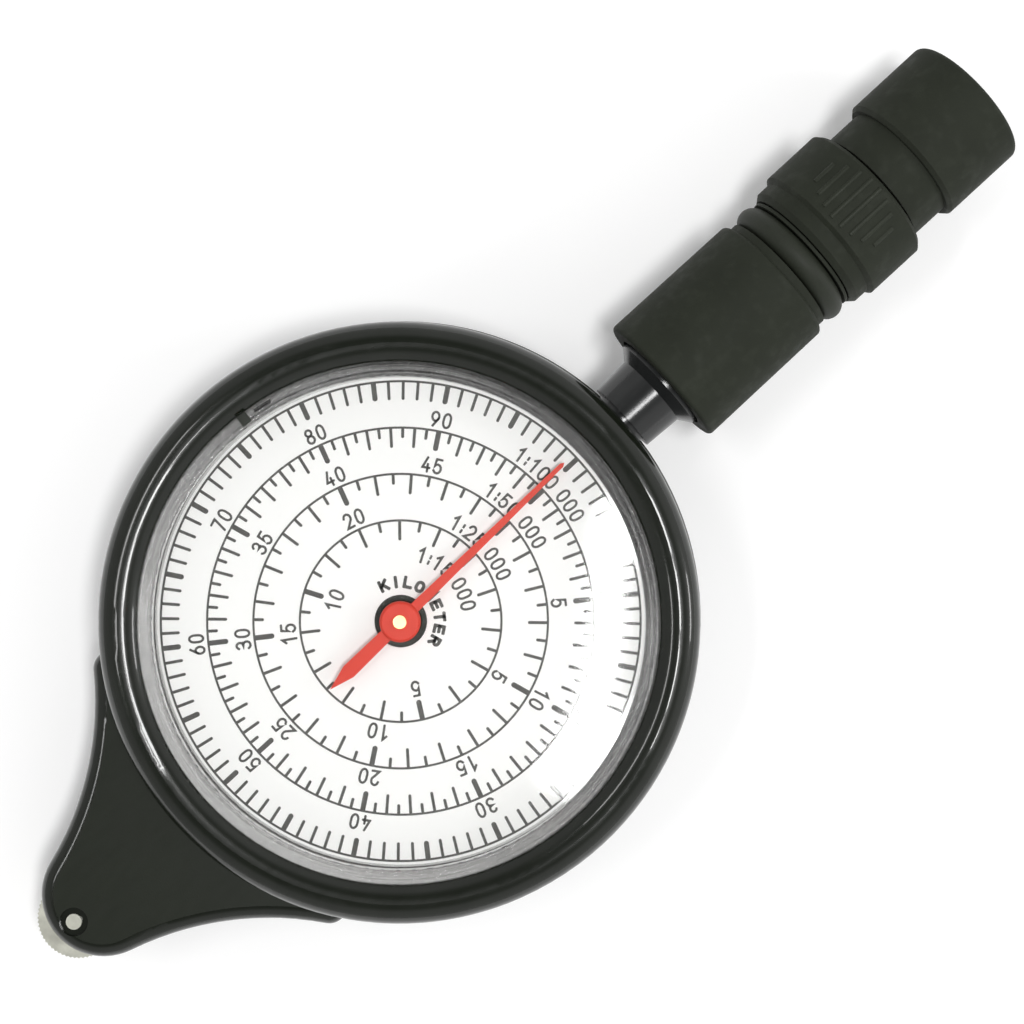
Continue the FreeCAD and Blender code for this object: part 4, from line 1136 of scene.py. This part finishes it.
# The floor lies just under the case, so that the two faces don't mix, and grows whiter to
# the eye between two distances from the dial's axis.
FLOOR_GAP = 0.01 * MM
FLOOR_NEAR = 0.1
FLOOR_FAR = 0.35
# Heights on a globe of radius 1 between which the wall light turns into the ceiling light.
WALL_TOP = 0.6
CEILING_EDGE = 0.95
# The camera sees nothing nearer than this.
NEAREST_SEEN = 0.01


def add_lamp(name, place, size, radiance, turn=None):
    """A rectangular lamp, hung to face straight down, or aimed at the dial without a turn."""
    light = bpy.data.lights.new(name, "AREA")
    light.shape = "RECTANGLE"
    light.size, light.size_y = size
    light.energy = radiance * math.pi * size[0] * size[1]
    lamp = bpy.data.objects.new(name, light)
    if turn is None:
        facing = Vector(place).to_track_quat("Z", "Y").to_matrix().to_4x4()
    else:
        facing = Matrix.Rotation(turn, 4, "Z")
    lamp.matrix_world = Matrix.Translation(place) @ facing
    bpy.context.scene.collection.objects.link(lamp)


def hang_round(name, angle, radius, size, radiance):
    """Hangs a lamp over a circle round the dial's axis."""
    turn = math.radians(90 - angle)
    place = (radius * math.cos(turn), radius * math.sin(turn), ROUND_HEIGHT)
    add_lamp(name, place, size, radiance, turn)


def seen(finish):
    """1 for what is seen, mirrored or seen through glass, 0 for light on other things."""
    camera, glossy, through = (
        finish.wire("LightPath", f"Is {name} Ray") for name in ("Camera", "Glossy", "Transmission")
    )
    return finish.clamp(camera + glossy + through)


def floor_white(stage):
    """Pale floor, white to the eye and in what mirrors it, that keeps the shadows."""
    finish = Finish("floor_white")
    speckle = finish.noise(0.4 * MM, detail=2)
    colour = finish.shade(stage.floor_colour, 0.995 + 0.01 * speckle)
    matte = finish.wire("BsdfDiffuse", sockets={"Color": colour})
    distance = finish.between(finish.radius(), FLOOR_NEAR, FLOOR_FAR)
    strength = seen(finish) * (distance + stage.floor_lift)
    lift = finish.wire("Emission", sockets={"Strength": strength})
    upper = finish.wire("AddShader", sockets={0: matte, 1: lift})
    under = finish.wire("BsdfTransparent")
    behind = finish.wire("NewGeometry", "Backfacing")
    return finish.end(finish.wire("MixShader", sockets={0: behind, 1: upper, 2: under}))


def room_light(stage):
    """Even light, dimmer overhead and stronger from one side; a camera sees only white."""
    room = Finish("room", "World")
    across, along, height = room.split(room.wire("TexCoord", "Generated"))
    turn = stage.bright_side
    slant = across * math.sin(turn) + along * math.cos(turn)
    walls = stage.walls * (1 + stage.one_sided * slant)
    sky = walls + (stage.zenith - walls) * room.between(height, WALL_TOP, CEILING_EDGE)
    camera = room.wire("LightPath", "Is Camera Ray")
    level = sky + (1 - sky) * camera
    sockets = {"Color": (1, 1, 1), "Strength": level}
    return room.end(room.wire("Background", sockets=sockets))


class MEASURER_OT_stage(bpy.types.Operator):
    """Set up the floor, the lamps and the camera"""

    bl_idname = "measurer.stage"
    bl_label = "Stage"

    def execute(self, context):
        scene = context.scene
        stage = scene.measurer_stage
        scene.view_settings.view_transform = "Standard"

        floor_mesh = bpy.data.meshes.new("floor")
        bm = bmesh.new()
        bmesh.ops.create_grid(
            bm, x_segments=1, y_segments=1, size=stage.floor_size / 2,
            matrix=Matrix.Translation((0, 0, CAD_BOX[0].z - FLOOR_GAP)),
        )
        bm.to_mesh(floor_mesh)
        bm.free()
        floor_mesh.materials.append(floor_white(stage))
        floor = bpy.data.objects.new("floor", floor_mesh)
        scene.collection.objects.link(floor)
        scene.world = room_light(stage)

        add_lamp("low_side", LOW_PLACE, LOW_SIZE, LOW_RADIANCE)
        for name, place, turn, size in ARCH_LAMPS:
            add_lamp(name, (*place, ARCH_HEIGHT), size, ARCH_RADIANCE, math.radians(turn))
        for angle in KEY_ANGLES:
            hang_round(f"key_{angle}", angle, KEY_RADIUS, KEY_SIZE, KEY_RADIANCE)
        hang_round("side_strip", SIDE_ANGLE, SIDE_RADIUS, SIDE_SIZE, SIDE_RADIANCE)

        camera = bpy.data.cameras.new("camera")
        camera.lens = stage.camera_lens
        camera.clip_start = NEAREST_SEEN
        eye = bpy.data.objects.new("camera", camera)
        eye.location = stage.camera_place
        eye.rotation_euler = (0, 0, stage.camera_turn)
        scene.collection.objects.link(eye)
        scene.camera = eye
        return {"FINISHED"}


OPERATORS = (
    MEASURER_OT_finish_case,
    MEASURER_OT_finish_dial,
    MEASURER_OT_finish_train,
    MEASURER_OT_finish_handle,
    MEASURER_OT_dial_scales,
    MEASURER_OT_dial_numbers,
    MEASURER_OT_dial_unit,
    MEASURER_OT_rim_tab,
    MEASURER_OT_case_screws,
    MEASURER_OT_coil_spring,
    MEASURER_OT_stage,
)


class MEASURER_PT_panel(bpy.types.Panel):
    """Lists the steps that dress the measurer"""

    bl_label = "Measurer"
    bl_idname = "MEASURER_PT_panel"
    bl_space_type = "VIEW_3D"
    bl_region_type = "UI"
    bl_category = "Measurer"

    def draw(self, context):
        for operator in OPERATORS:
            self.layout.operator(operator.bl_idname)
        for name, group in SETTINGS.items():
            box = self.layout.box()
            box.label(text=group.__doc__)
            for field in group.__annotations__:
                box.prop(getattr(context.scene, name), field)


def register():
    for group in (*SETTINGS.values(), *OPERATORS, MEASURER_PT_panel):
        bpy.utils.register_class(group)
    for name, group in SETTINGS.items():
        setattr(bpy.types.Scene, name, PointerProperty(type=group))


def unregister():
    for name in SETTINGS:
        delattr(bpy.types.Scene, name)
    for group in reversed((*SETTINGS.values(), *OPERATORS, MEASURER_PT_panel)):
        bpy.utils.unregister_class(group)


def main():
    register()
    for operator in OPERATORS:
        family, name = operator.bl_idname.split(".")
        getattr(getattr(bpy.ops, family), name)()


if __name__ == "__main__":
    main()
